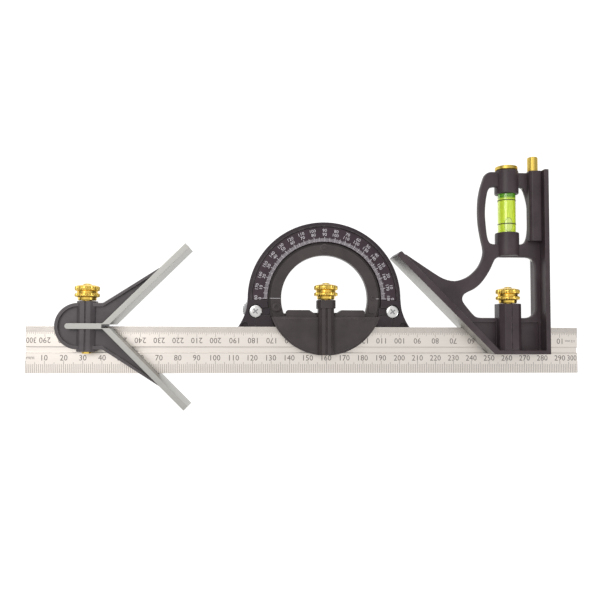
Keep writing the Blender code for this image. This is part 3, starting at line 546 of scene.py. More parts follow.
VIAL_CLEAR = clear_plastic("vial_acrylic", (0.90, 0.97, 0.66), 0.02)
# The second colour of each is painted shade under the upper sleeve, and all three glow with a painted glow.
VIAL_FLUID = glowing_fluid("vial_fluid", (0.64, 0.76, 0.07), (0.09, 0.30, 0.02))
BUBBLE_CLEAR = glowing_fluid("vial_bubble", (0.62, 0.72, 0.30), (0.50, 0.62, 0.20))
# The bubble's rim colour is a painted shade ring round its edge.
BUBBLE_RIM_SHADE = glowing_fluid("vial_bubble_rim_shade", (0.30, 0.38, 0.06), (0.22, 0.30, 0.04))
PLUG_WHITE = ink("vial_plug", (0.55, 0.56, 0.50), (0.72, 0.73, 0.66), 0.5)
print("marks and vial:", RULE_INK.name, WHITE_INK.name, VIAL_CLEAR.name, VIAL_FLUID.name)


# %% [markdown]
# ## The rule
#
# The blade is a strip of spring steel with a groove down its middle for the clamp tongues. One
# (y, z) section, extruded along its length and bevelled a hair, is the whole shape. The lines and
# numbers are cut and filled with dark paint on a real rule, so they are thin solids that stand a
# fiftieth of a millimetre proud: they stay crisp at any distance, which a texture would not.

# %% Blade
GROOVE_WIDTH = 2.9
GROOVE_DEPTH = 1.0
GROOVE_MIDDLE = -RULE_WIDTH / 2


def make_blade():
    """The grooved strip, extruded along Z and laid down along X."""
    half = GROOVE_WIDTH / 2
    floor = RULE_FRONT - GROOVE_DEPTH
    section = [(-RULE_WIDTH, RULE_BACK), (-RULE_WIDTH, RULE_FRONT), (GROOVE_MIDDLE - half, RULE_FRONT),
               (GROOVE_MIDDLE - half, floor), (GROOVE_MIDDLE + half, floor),
               (GROOVE_MIDDLE + half, RULE_FRONT), (0.0, RULE_FRONT), (0.0, RULE_BACK)]
    mesh = plate([section], 0.0, RULE_LENGTH, 0.12)
    mesh.transform(Matrix(((0, 0, 1, 0), (1, 0, 0, 0), (0, 1, 0, 0), (0, 0, 0, 1))))
    piece("rule_blade", mesh, (0.0, 0.0), "rule", RULE_STEEL, "rule", angle=25.0)


make_blade()


# %% Lines and figures
PROUD = 0.02


def line_mark(shape, low, high, height=RULE_FRONT, turn=None):
    """Add one thin bar between two corners to a bmesh."""
    matrix = Matrix.Translation(((low[0] + high[0]) / 2 * MM, (low[1] + high[1]) / 2 * MM, height * MM))
    size = Matrix.Diagonal(((high[0] - low[0]) * MM, (high[1] - low[1]) * MM, 2 * PROUD * MM, 1.0))
    bmesh.ops.create_cube(shape, size=1.0, matrix=(turn or Matrix()) @ matrix @ size)


def figure_mesh(text, height, stretch=1.0):
    """Text as a thin mesh, centred on the origin and scaled to a height in mm."""
    curve = bpy.data.curves.new("figures", "FONT")
    curve.body = text
    curve.resolution_u = 2
    curve.extrude = PROUD * MM
    holder = bpy.data.objects.new("figures", curve)
    bpy.context.scene.collection.objects.link(holder)
    mesh = bpy.data.meshes.new_from_object(holder.evaluated_get(bpy.context.evaluated_depsgraph_get()))
    bpy.data.objects.remove(holder, do_unlink=True)
    xs = [v.co.x for v in mesh.vertices]
    ys = [v.co.y for v in mesh.vertices]
    scale = height * MM / (max(ys) - min(ys))
    middle = Matrix.Translation((-(max(xs) + min(xs)) / 2, -(max(ys) + min(ys)) / 2, 0.0))
    mesh.transform(Matrix.Diagonal((scale * stretch, scale, 1.0, 1.0)) @ middle)
    return mesh


def stamp(shape, mesh, x, y, degrees=0.0, height=RULE_FRONT):
    """Add a copy of a mesh to a bmesh, turned about Z and set on a surface."""
    copy = mesh.copy()
    copy.transform(Matrix.Translation((x * MM, y * MM, height * MM))
                   @ Matrix.Rotation(math.radians(degrees), 4, "Z"))
    shape.from_mesh(copy)
    bpy.data.meshes.remove(copy)


# %% Divide the rule
FIGURE_HEIGHT = 3.0
UNIT_HEIGHT = 1.3
LOWER_ROW = -16.75
UPPER_ROW = -7.5
END_ROOM = 0.12
EDGE_ROOM = 0.15
LAST_READING = 300


def graduation(step, sizes):
    """The size of a line: the first in an (every so many steps, size) list that fits."""
    return next(size for every, size in sizes if step % every == 0)


def on_rule(x):
    """Keep the first and last lines whole."""
    return min(max(x, END_ROOM), RULE_LENGTH - END_ROOM)


def figures(shape, row, degrees, start, way):
    """A figure at each tenth millimetre. The last is narrowed and moved in from the rule's end."""
    for reading in range(10, LAST_READING + 1, 10):
        whole = reading < LAST_READING
        x = start + way * (reading if whole else LAST_READING - (3.1 if way > 0 else 2.9))
        stamp(shape, figure_mesh(str(reading), FIGURE_HEIGHT, 0.98 if whole else 0.86), x, row, degrees)


def lower_scale(shape):
    """Millimetres from the left end, read from below."""
    for reading in range(LAST_READING + 1):
        x = on_rule(reading)
        length = graduation(reading, ((10, 6.6), (5, 5.9), (1, 4.9)))
        line_mark(shape, (x - 0.09, -RULE_WIDTH + EDGE_ROOM), (x + 0.09, -RULE_WIDTH + length))
    figures(shape, LOWER_ROW, 0.0, 0.0, 1)
    stamp(shape, figure_mesh("mm", UNIT_HEIGHT), 2.6, LOWER_ROW - 0.15)


def upper_scale(shape):
    """Half millimetres from the right end, read from above."""
    for half_step in range(2 * LAST_READING + 1):
        x = on_rule(RULE_LENGTH - half_step / 2)
        length = graduation(half_step, ((20, 5.6), (10, 4.8), (2, 4.1), (1, 3.2)))
        line_mark(shape, (x - 0.075, -length), (x + 0.075, -EDGE_ROOM))
    figures(shape, UPPER_ROW, 180.0, RULE_LENGTH, -1)
    stamp(shape, figure_mesh("1/2 mm", UNIT_HEIGHT), RULE_LENGTH - 4.2, UPPER_ROW, 180.0)


def groove_lines(shape):
    """The two fine lines that border the groove."""
    for side in (-1, 1):
        middle = GROOVE_MIDDLE + side * (GROOVE_WIDTH / 2 + 0.25)
        line_mark(shape, (0.2, middle - 0.06), (RULE_LENGTH - 0.2, middle + 0.06))


marks = bmesh.new()
lower_scale(marks)
upper_scale(marks)
groove_lines(marks)
piece("rule_graduations", as_mesh(marks), (0.0, 0.0), "rule", RULE_INK, angle=30.0)


# %% [markdown]
# ## Clamps
#
# Each head is locked by a draw bolt with a tongue in the rule's groove and a knurled brass nut. The
# nut is turned in one profile: two knurled flanges with a groove between them and a taper collar
# below. Spinning it with many steps gives columns of vertices, and pushing every other pair of
# columns in along the flanges cuts the knurl into the shape itself.

# %% Knurled nut
BOLT_RADIUS = 2.4
BORE = BOLT_RADIUS + GAP
BOLT_Z = RULE_FRONT + 4.4
NUT_RADIUS = 6.4
NUT_HEIGHT = 8.2
KNURLS = 30
KNURL_DEPTH = 0.26
TONGUE_HALF = 1.8


def knurl(mesh, radius_from, columns, depth):
    """Press grooves into every vertex further out than a radius: two columns up, two down."""
    for vertex in mesh.vertices:
        out = math.hypot(vertex.co.x, vertex.co.y)
        if out < radius_from * MM:
            continue
        column = round(math.atan2(vertex.co.y, vertex.co.x) / math.tau * columns * 4) % 4
        if column in (0, 1):
            vertex.co.x *= 1.0 - depth * MM / out
            vertex.co.y *= 1.0 - depth * MM / out


def make_nut(name, body, node_name, head, x, base):
    """A double knurled nut that stands on its boss."""
    rim, waist = NUT_RADIUS, NUT_RADIUS - 1.1
    profile = [(BORE, 0.0), (4.45, 0.0), (4.75, 0.35), (4.85, 1.5), (rim - 0.9, 1.75), (rim - 0.12, 2.05),
               (rim, 2.3), (rim, 3.3), (rim - 0.12, 3.55), (rim - 0.7, 3.85), (waist, 3.95), (waist, 4.8),
               (rim - 0.7, 4.95), (rim - 0.12, 5.35), (rim, 5.6), (rim, 7.0), (rim - 0.12, 7.25),
               (rim - 0.9, 7.7), (BORE + 1.5, 8.05), (BORE + 0.4, NUT_HEIGHT), (BORE, NUT_HEIGHT - 0.25)]
    mesh = spun(profile, (0.0, 0.0, 0.0), "Z", KNURLS * 4, closed=True)
    knurl(mesh, rim - 0.15, KNURLS, KNURL_DEPTH)
    mesh.transform(Matrix.Translation((x * MM, base * MM, BOLT_Z * MM))
                   @ Matrix.Rotation(math.radians(-90), 4, "X"))
    piece(name, mesh, head, body, BRASS, node_name, angle=28.0)


# %% Draw bolt
def make_bolt(name, body, node_name, head, x, base):
    """A bolt with a domed end and a tongue that hooks into the rule's groove."""
    low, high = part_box(node_name)
    foot = low.y / MM - RULE_EDGE - head[1]
    crown = high.y / MM - RULE_EDGE - head[1]
    seat = base + NUT_HEIGHT
    dome = [(BOLT_RADIUS * math.cos(math.radians(a)), seat + (crown - seat) * math.sin(math.radians(a)))
            for a in range(0, 90, 15)] + [(0.0, crown)]
    shank = spun([(0.0, foot), (BOLT_RADIUS - 0.3, foot), (BOLT_RADIUS, foot + 0.3)] + dome,
                 (x, 0.0, BOLT_Z), "Y", 40)
    tongue_top = GROOVE_MIDDLE + GROOVE_WIDTH / 2 - GAP - head[1]
    tongue = block((x - TONGUE_HALF, tongue_top - 1.5, RULE_FRONT - GROOVE_DEPTH + GAP),
                   (x + TONGUE_HALF, tongue_top, BOLT_Z), 0.15)
    piece(name, worked(shank, ("UNION", tongue)), head, body, BRASS, node_name)


def make_clamp(prefix, head, x, base):
    """The nut and bolt of one head."""
    stem = prefix.removesuffix("_head")
    make_nut(f"{stem}_clamp_knob", f"{stem}_nut", f"{prefix}_clamp_nut", head, x, base)
    make_bolt(f"{stem}_clamp_bolt", f"{stem}_bolt", f"{prefix}_draw_bolt", head, x, base)


def boss_section(width, front, groove=0.0, rounding=0.55):
    """The (x, z) section of a clamp boss: a flat front between two facets, with a parting groove."""
    half = width / 2
    shoulder = half * rounding
    floor = RULE_FRONT + GAP
    section = [(-half, floor), (-half, front - half + shoulder), (-shoulder, front)]
    if groove:
        section += [(-groove, front), (-groove * 0.5, front - 0.7),
                    (groove * 0.5, front - 0.7), (groove, front)]
    return section + [(shoulder, front), (half, front - half + shoulder), (half, floor)]


def rule_slot(x_low, x_high, y_low, y_high):
    """The space that the rule slides through."""
    return block((x_low, y_low, RULE_BACK - GAP), (x_high, y_high, RULE_FRONT + GAP))


def clamp_cuts(x, shift, low, high):
    """The bolt's bore and the pocket for its tongue."""
    tongue_top = GROOVE_MIDDLE + GROOVE_WIDTH / 2 - GAP + shift
    return [rod(BORE, (x, low - 2.0, BOLT_Z), high - low + 4.0, "Y", 32),
            block((x - TONGUE_HALF - GAP, low - 2.0, RULE_FRONT - 0.7),
                  (x + TONGUE_HALF + GAP, tongue_top + GAP, BOLT_Z))]


# %% [markdown]
# ## The centre head
#
# Two arms at right angles bridge a round bar so that the rule's edge crosses its centre. The body is
# a thin web inside a raised rim, and both arms and the rib behind them are ground bright on their
# fronts and inner faces. The outline is made twice, once drawn in by the rim's width and cut away.

# %% Centre head casting
CENTRE_FRONT = 18.6
CENTRE_BODY_RADIUS = 12.2
CENTRE_BODY_BACK = 15.9
WING_REACH = 31.0
ARM_LENGTH = 59.0
ARM_THICK = 3.0
RIB_HALF = 1.5
RIB_END = -20.6
CENTRE_CLAMP = (-11.9, -13.4, 13.2)
ROOT = math.sqrt(0.5)


def centre_outline(inset, into_arm=1.0):
    """Round end, neck and wings up to the arms, drawn in by inset."""
    radius = CENTRE_BODY_RADIUS - inset
    arm_root = -ARM_THICK / ROOT + into_arm
    reach = WING_REACH - inset * 2.6
    neck = flowing([(-4.2, radius), (-3.0, radius + 0.15), (-1.6, radius + 1.0)], 3)
    upper = [(arm_root, 0.0), (reach, reach - arm_root)] + neck[::-1]
    lower = [(x, -y) for x, y in neck] + [(reach, arm_root - reach)]
    return upper + arc((-CENTRE_BODY_BACK, 0.0), radius, 90, 270, 32) + lower


def ground_y():
    """The Y of ground metal: both arms and the rib that runs back from their point."""
    reach, across = ARM_LENGTH * ROOT, ARM_THICK * ROOT
    upper = [(0.0, 0.0), (reach, reach), (reach - across, reach + across),
             (RIB_HALF - ARM_THICK / ROOT, RIB_HALF)]
    lower = [(x, -y) for x, y in reversed(upper[1:])]
    return upper + arc((RIB_END, 0.0), RIB_HALF, 90, 270, 12) + lower


def make_centre_head():
    """The web in its rim, the clamp boss and the ground arms, with room cut for rule and bolt."""
    clamp_x, foot, top = CENTRE_CLAMP
    body = plate([centre_outline(0.0)], 2.4, 16.4, 0.35)
    boss = column(boss_section(9.6, 17.6, 0.45), clamp_x, foot, top, 0.3)
    bright = plate([ground_y()], 0.0, CENTRE_FRONT, 0.16)
    relief = block((-3.2, -1.0, -2.0), (2.0, 1.0, 22.0))
    mesh = worked(body,
                  ("DIFFERENCE", plate([centre_outline(1.8)], 14.8, 22.0),
                   plate([centre_outline(1.8)], -2.0, 4.2)),
                  ("UNION", boss, bright),
                  ("DIFFERENCE", relief, rule_slot(-60.0, 60.0, -RULE_WIDTH - GAP, GAP)),
                  ("DIFFERENCE", *clamp_cuts(clamp_x, 0.0, foot, top)))

    def is_bright(middle, normal):
        """Ground faces: the Y's front and back, and both inner and end faces of the arms."""
        on_front = middle.z > CENTRE_FRONT - 0.2 or middle.z < 0.2
        inward = normal.x - abs(normal.y) * 0.2 > 0.5 and abs(middle.y) > 1.2
        tip = middle.x + abs(middle.y) > 2 * ARM_LENGTH * ROOT - 3.0
        outer_arm = middle.x > WING_REACH + 0.5 and abs(normal.z) < 0.5
        return on_front or (inward and middle.x > 0.0) or tip or outer_arm

    second_finish(mesh, is_bright)
    piece("centre_head_casting", mesh, CENTRE_AT, "centre_head", [CENTRE_PAINT, GROUND], "centre_head")
    make_clamp("centre_head", CENTRE_AT, clamp_x, top + GAP)


make_centre_head()


# %% [markdown]
# ## The protractor head
#
# A round turret turns inside an arched frame, and the frame's degree band is read against two marks
# on the turret. The turret is a ring with a half-moon plate across its lower side, which the rule
# slides behind.

# %% Turret
TURRET_RADIUS = 31.0
HOLE_RADIUS = 23.9
PLATE_FRONT = 14.0
FRAME_BACK = 2.4
FRAME_FRONT = 6.6
CHORD = -8.2
PLATE_TOP = -10.2
SHOE_REACH = 30.2
FLANGE_RADIUS = 32.9
BOSS_TOP = -1.2
LUG_AT = (-26.4, -5.0)
PIP_AT = (26.8, 0.4)
SEAL_AT = (0.0, 27.6)
POINTER_HALF = 0.11


def ring_loops(inner, outer, steps=96):
    """A flat ring, as an outline and its hole."""
    return [arc((0, 0), outer, 0, 360, steps)[:-1], arc((0, 0), inner, 0, 360, steps)[:-1]]


def ridge(side):
    """The bar behind the plate's top edge, sloping down to the boss."""
    points = [(4.4, -12.0), (4.4, -9.4), (8.8, -6.5), (20.5, -6.5), (21.3, -7.3), (21.3, -12.0)]
    return [(side * x, y) for x, y in points]


def make_turret():
    """The ring and its half-moon plate, the clamp boss, the bars behind it and the small bosses."""
    ring_front = FRAME_FRONT - 0.1
    reach = math.degrees(math.asin(CHORD / HOLE_RADIUS))
    plate_reach = math.degrees(math.asin(-PLATE_TOP / TURRET_RADIUS))
    half_moon = arc((0, 0), HOLE_RADIUS, reach, 180 - reach, 56)
    face = arc((0, 0), TURRET_RADIUS, 180 + plate_reach, 360 - plate_reach, 56)
    slot_top = -TURRET_AT[1] + GAP
    head_low = BOSS_TOP - 4.6
    ring = rod(TURRET_RADIUS, (0, 0, FRAME_BACK), ring_front - FRAME_BACK, "Z", 96, 0.12)
    flange = rod(FLANGE_RADIUS, (0, 0, FRAME_BACK + 0.2), 1.0, "Z", 96, 0.15)
    front = plate([face], RULE_FRONT + GAP, PLATE_FRONT, 0.35)
    bridge = block((-HOLE_RADIUS, slot_top, FRAME_BACK + 1.0), (HOLE_RADIUS, PLATE_TOP, PLATE_FRONT - 1.0))
    rim_step = plate(ring_loops(TURRET_RADIUS - 1.25, TURRET_RADIUS + 1.0),
                     PLATE_FRONT - 0.45, PLATE_FRONT + 2.0)
    low_fillet = block((-25.5, PLATE_TOP - 1.6, PLATE_FRONT - 1.0),
                       (25.5, PLATE_TOP - 0.9, PLATE_FRONT + 0.25), 0.2)
    bars = [plate([ridge(side)], FRAME_BACK + 0.6, PLATE_FRONT - 1.2, 0.35) for side in (-1, 1)]
    back_bar = block((-20.6, slot_top + 1.0, FRAME_BACK + 0.6), (20.6, CHORD + 0.3, PLATE_FRONT - 3.0))
    boss = column(boss_section(8.4, 18.2, 0.5), 0.0, -TURRET_RADIUS + 0.4, head_low + 0.6, 0.3)
    boss_head = column(boss_section(10.0, 18.6, 0.0, 0.6), 0.0, head_low, BOSS_TOP, 0.4)
    rebate = plate(ring_loops(SHOE_REACH - 0.6, TURRET_RADIUS + 2.0), 4.4, FRAME_FRONT + 0.05)
    lug = rod(2.5, (*LUG_AT, ring_front - 0.6), 1.6, "Z", 28, 0.35)
    lug_hole = rod(1.3, (*LUG_AT, ring_front + 0.3), 2.0, "Z", 20)
    pip = rod(1.5, (*PIP_AT, ring_front - 0.6), 1.0, "Z", 24, 0.25)
    pip_hole = rod(0.8, (*PIP_AT, ring_front - 0.1), 2.0, "Z", 16)
    pad = block((24.4, -8.2, ring_front - 0.6), (27.6, -3.6, ring_front + 0.5), 0.3)
    seal = rod(2.6, (*SEAL_AT, ring_front - 0.6), 0.85, "Z", 32, 0.2)
    seal_room = rod(1.9, (*SEAL_AT, ring_front + 0.05), 2.0, "Z", 28)
    seal_dot = rod(0.8, (*SEAL_AT, ring_front - 0.4), 0.7, "Z", 20, 0.15)
    mesh = worked(ring, ("UNION", flange, front, bridge),
                  ("DIFFERENCE", plate([half_moon], -2.0, 22.0), rim_step),
                  ("UNION", back_bar, *bars, low_fillet, boss, boss_head, lug, pip, pad, seal),
                  ("DIFFERENCE", lug_hole, pip_hole, seal_room, rebate,
                   *clamp_cuts(0.0, -TURRET_AT[1], -TURRET_RADIUS, BOSS_TOP)),
                  ("UNION", seal_dot))
    piece("turret_casting", mesh, TURRET_AT, "turret", TURRET_PAINT, "turret")
    pointer = bmesh.new()
    for low, high in ((-30.0, -24.4), (28.4, 30.0)):
        line_mark(pointer, (low, -POINTER_HALF), (high, POINTER_HALF), ring_front)
    piece("turret_pointers", as_mesh(pointer), TURRET_AT, "turret", WHITE_INK)
    make_clamp("turret", TURRET_AT, 0.0, BOSS_TOP + GAP)


make_turret()


# %% Arched frame
ARCH_RADIUS = 42.2
BAND_RADIUS = ARCH_RADIUS - 2.4
SCREW_AT = (37.8, -7.1)
SCREW_RADIUS = 3.5
LOCK_AT = (-39.8, -6.3)
FRAME_FOOT = -38.2
DIMPLE_AT = (43.6, -14.9)


def frame_outline():
    """Round arch, flared feet and a straight base."""
    arch, foot = ARCH_RADIUS, ARCH_RADIUS + 10.6
    flare = flowing([(foot, -24.0), (foot - 2.4, -19.5), (arch + 4.6, -15.0), (arch + 2.0, -10.0),
                     (arch + 0.6, -5.5), (arch, 0.0)])
    right = [(foot, FRAME_FOOT), *flare]
    return right + arc((0.0, 0.0), arch, 0, 180, 72)[1:-1] + [(-x, y) for x, y in reversed(right)]


def sector(inner, outer, first, last, steps=72):
    """A flat ring sector as an outline."""
    return arc((0, 0), outer, first, last, steps) + arc((0, 0), inner, last, first, steps)


def shoe_outline(side, extra):
    """A keyhole shape: round at the screw, with a tongue towards the turret."""
    x, y = SCREW_AT
    half = 1.6 + extra
    turn = arc((x, y), SCREW_RADIUS - 0.1 + extra, -150, 150, 28)
    tip = SHOE_REACH - extra
    return [(side * px, py) for px, py in turn + [(tip, y + half + 0.2), (tip, y - half - 0.2)]]


def make_frame():
    """The arch, cut for the turret, the degree band, the shoes, the screws and the lock stud."""
    band_floor = FRAME_FRONT - 1.1
    opening = arc((0, 0), TURRET_RADIUS + GAP, 0, 360, 96)[:-1]
    body = plate([frame_outline(), opening], FRAME_BACK, FRAME_FRONT, 0.35)
    cuts = [rod(FLANGE_RADIUS + GAP, (0, 0, FRAME_BACK - 2.0), 3.5, "Z", 96),
            plate([sector(TURRET_RADIUS, BAND_RADIUS, -1.5, 181.5)], band_floor, FRAME_FRONT + 2.0)]
    shoe_floor = FRAME_FRONT - 2.2
    for side in (-1, 1):
        x = side * SCREW_AT[0]
        cuts += [plate([shoe_outline(side, 0.5)], shoe_floor, FRAME_FRONT + 2.0),
                 rod(1.7, (x, SCREW_AT[1], shoe_floor - 1.3), 3.0, "Z", 24),
                 plate([[(x - 0.3, -16.8), (x + 0.3, -16.8), (x + 0.3, -10.2), (x - 0.3, -10.2)]],
                       FRAME_FRONT - 0.5, FRAME_FRONT + 1.0),
                 rod(2.0, (side * DIMPLE_AT[0], DIMPLE_AT[1], FRAME_FRONT - 1.6), 3.0, "Z", 28)]
    cuts.append(rod(1.4, (*LOCK_AT, FRAME_BACK - 2.0), 2.7, "Z", 24))
    lip = plate([sector(BAND_RADIUS + 0.1, BAND_RADIUS + 0.6, -1.0, 181.0)],
                FRAME_FRONT - 0.3, FRAME_FRONT + 0.25)
    mesh = worked(body, ("DIFFERENCE", *cuts), ("UNION", lip))
    second_finish(mesh, lambda middle, normal: middle.y < FRAME_FOOT + GAP)
    piece("protractor_frame_casting", mesh, TURRET_AT, "frame", [FRAME_PAINT, GROUND], "protractor_frame")


make_frame()


# %% [markdown]
# ### Degree band
#
# Ninety degrees stands at the top and the figures count both ways, so each tenth line carries two
# numbers. The marks are turned copies of one bar, and the figures are small text meshes turned to
# face outwards.

# %% Degree marks
BAND_FACE = FRAME_FRONT - 0.2
MARK_START = 31.5
DEGREE_FIGURE = 1.7
FIGURE_RINGS = (37.7, 35.5)
HALF_TURN = 180


def make_degree_marks():
    """A line for each degree, and two rings of figures that count opposite ways."""
    shape = bmesh.new()
    for degree in range(HALF_TURN + 1):
        length = graduation(degree, ((10, 2.6), (5, 2.2), (1, 1.8)))
        wide = graduation(degree, ((5, 0.13), (1, 0.09)))
        turn = Matrix.Rotation(math.radians(degree), 4, "Z")
        line_mark(shape, (MARK_START, -wide), (MARK_START + length, wide), BAND_FACE, turn)
    for degree in range(0, HALF_TURN + 1, 10):
        angle = math.radians(degree)
        for radius, value in zip(FIGURE_RINGS, (degree, HALF_TURN - degree)):
            stamp(shape, figure_mesh(str(value), DEGREE_FIGURE, 1.05), radius * math.cos(angle),
                  radius * math.sin(angle), degree - 90.0, BAND_FACE)
    piece("degree_marks", as_mesh(shape), TURRET_AT, "frame", WHITE_INK, angle=30.0)


make_degree_marks()


# %% Cross-head screws
def make_screw(side, word):
    """A low pan head with a cross recess, sunk in the frame over its shoe."""
    top = FRAME_FRONT - 0.02
    radius = SCREW_RADIUS
    profile = [(0.0, top - 2.9), (1.4, top - 2.9), (1.4, top - 1.0), (radius - 0.1, top - 1.0),
               (radius, top - 0.8), (radius, top - 0.5), (radius - 0.5, top - 0.15),
               (radius - 1.4, top), (0.0, top)]
    x = side * SCREW_AT[0]
    head = spun(profile, (x, SCREW_AT[1], 0.0), "Z", 48)
    arms = []
    for degrees in (38.0, 128.0):
        arm = block((-1.7, -0.34, top - 0.55), (1.7, 0.34, top + 1.0))
        arm.transform(Matrix.Translation((x * MM, SCREW_AT[1] * MM, 0.0))
                      @ Matrix.Rotation(math.radians(degrees), 4, "Z"))
        arms.append(arm)
    mesh = worked(head, ("DIFFERENCE", *arms))
    # The cross recess floor takes the darker steel: painted shade in the recess.
    second_finish(mesh, lambda middle, normal: middle.z < top - 0.5 and normal.z > 0.9
                  and math.hypot(middle.x - x, middle.y - SCREW_AT[1]) < 1.9)
    piece(f"cross_head_screw_{word}", mesh, TURRET_AT, "frame", [SCREW_STEEL, DARK_STEEL_AND_RECESS_SHADE],
          f"shoe_screw_{word}")


make_screw(-1, "left")
make_screw(1, "right")


# %% Lock disc behind the frame
def make_lock():
    """A thumb disc with a knurled rim that peeks out beside the frame."""
    back = 0.4
    profile = [(0.0, back), (4.3, back), (4.9, back + 0.15), (5.2, back + 0.45), (5.2, 1.65), (4.9, 1.95),
               (4.3, 2.1), (1.1, 2.1), (1.1, 2.8), (0.0, 2.8)]
    mesh = spun(profile, (0.0, 0.0, 0.0), "Z", 96)
    knurl(mesh, 5.1, 24, 0.22)
    mesh.transform(Matrix.Translation((LOCK_AT[0] * MM, LOCK_AT[1] * MM, 0.0)))
    piece("lock_disc", mesh, TURRET_AT, "lock", DARK_STEEL_AND_RECESS_SHADE, "lock_screw")


make_lock()


# %% [markdown]
# ## The square head
#
# The casting is a thin web with a finger opening and a window for the vial, a deep flange behind the
# square face and another along the mitre, and bosses for the clamp and the scriber. Each is a plate,
# a column or a rod, joined with exact booleans; the openings are cut before the sleeves are added.

# %% Square head outlines
SQUARE_DEPTH = 20.5
FOOT = -14.4
MITRE_START = 30.7
MITRE_RUN = 52.9
SQUARE_HEIGHT = 86.2
WEB_BACK = 9.5
WEB_INSET = 1.0
WEB_FRONT = 13.0
STRIP = 2.6
FOOT_RIM = 2.1
MITRE_BACK = 3.4 / ROOT
MITRE_TIP = (-MITRE_START - MITRE_RUN, FOOT + MITRE_RUN)
SQUARE_CLAMP_X = -21.0
SQUARE_CLAMP_TOP = 12.9


def square_outline():
    """The web: handle and mitre edge, drawn in from the square face at x = 0 and from the mitre."""
    top = SQUARE_HEIGHT - 0.4
    handle = flowing([(-24.0, top), (-28.4, top + 0.3), (-31.0, top - 0.2), (-32.9, top - 2.0),
                      (-34.3, top - 5.8), (-35.5, 76.0), (-36.5, 70.3), (-36.8, 63.1), (-36.4, 56.0),
                      (-35.2, 48.9), (-34.0, 43.0), (-34.2, 39.6), (-35.3, 36.2), (-37.2, 32.8),
                      (-40.4, 29.5), (-44.2, 27.0), (-50.0, 25.4), (-56.2, 26.7), (-62.4, 30.3),
                      (-70.3, 35.5), (-76.8, 39.8)], 3)
    inset = WEB_INSET
    tip_x, tip_y = MITRE_TIP
    return ([(-inset, FOOT + inset), (-inset, top)] + handle
            + [(tip_x + 2.6 * inset, tip_y + 1.4 * inset), (tip_x + 1.6 * inset, tip_y - 0.2 * inset),
               (-MITRE_START + 0.4 * inset, FOOT + inset)])


def square_border():
    """The deep border: the mitre flange, the foot and the strip behind the square face."""
    foot, half = FOOT + FOOT_RIM, MITRE_BACK / 2
    tip_x, tip_y = MITRE_TIP
    return [(0.0, FOOT), (0.0, SQUARE_HEIGHT), (-STRIP, SQUARE_HEIGHT), (-STRIP, foot),
            (-MITRE_START + MITRE_BACK - FOOT_RIM, foot), (tip_x + half + 0.3, tip_y + half - 0.3),
            (tip_x + 1.8, tip_y + 1.8), MITRE_TIP, (-MITRE_START, FOOT)]


def finger_opening():
    """Three straight sides round the clamp nut, joined by two corners and a sweep."""
    upper_corner = flowing([(-10.0, 38.7), (-7.6, 38.1), (-5.9, 36.0), (-5.2, 33.5)], 4)
    lower_corner = flowing([(-5.0, 10.5), (-5.3, 8.9), (-6.4, 7.2), (-8.3, 5.8), (-10.5, 5.3)], 4)
    sweep = flowing([(-35.5, 5.3), (-38.0, 5.7), (-40.0, 7.2), (-43.5, 11.3), (-45.4, 14.0), (-45.8, 15.9),
                     (-45.0, 17.8), (-43.1, 19.2), (-39.5, 20.9), (-36.0, 23.6), (-32.8, 27.5),
                     (-30.0, 32.1), (-28.4, 35.6), (-27.2, 37.6), (-25.5, 38.7)], 3)
    return upper_corner + lower_corner + sweep


def vial_window():
    """The window round the vial, bowed out on both sides."""
    handle_side = flowing([(-27.8, 77.7), (-29.6, 77.2), (-30.8, 75.9), (-31.6, 73.2), (-32.4, 67.9),
                           (-32.7, 62.6), (-32.4, 57.3), (-31.8, 51.3), (-31.0, 47.9), (-30.0, 46.4),
                           (-28.2, 45.9)], 3)
    face_side = flowing([(-13.2, 45.9), (-11.2, 46.5), (-10.0, 47.9), (-9.0, 51.0), (-8.5, 56.4),
                         (-8.3, 61.7), (-8.7, 67.8), (-9.8, 72.8), (-10.9, 76.0), (-12.0, 77.3),
                         (-13.2, 77.7)], 3)
    return handle_side + face_side


def panel(side):
    """The sunk panel on one side of the clamp boss."""
    foot, top = FOOT + FOOT_RIM, 3.0
    if side > 0:
        left, right = SQUARE_CLAMP_X + 7.1, -STRIP - 1.0
        return [(left, foot), (right, foot), (right, top), (left, top)]
    right = SQUARE_CLAMP_X - 6.5
    edge = -MITRE_START + MITRE_BACK + FOOT
    return [(right, foot), (right, top), (edge - top + 0.4, top), (min(edge - foot, right - 0.4), foot)]


# %% Square head casting
VIAL_X = -19.8
VIAL_Z = SQUARE_DEPTH / 2
VIAL_LOW, VIAL_TOP = 41.7, 84.3
VIAL_RADIUS = 4.9
FLUID_RADIUS = 4.6
SLEEVE_RADIUS = 6.5
SCRIBER_X = -5.7
SCRIBER_Z = 12.4
SCRIBER_BORE = 1.4
SCRIBER_TOP = SQUARE_HEIGHT + 8.2


def scriber_section():
    """The (x, z) section of the boss that the scriber stands in."""
    return [(-3.7, 12.0), (-3.7, 16.6), (-2.4, 17.9), (2.4, 17.9), (3.7, 16.6), (3.7, 12.0)]


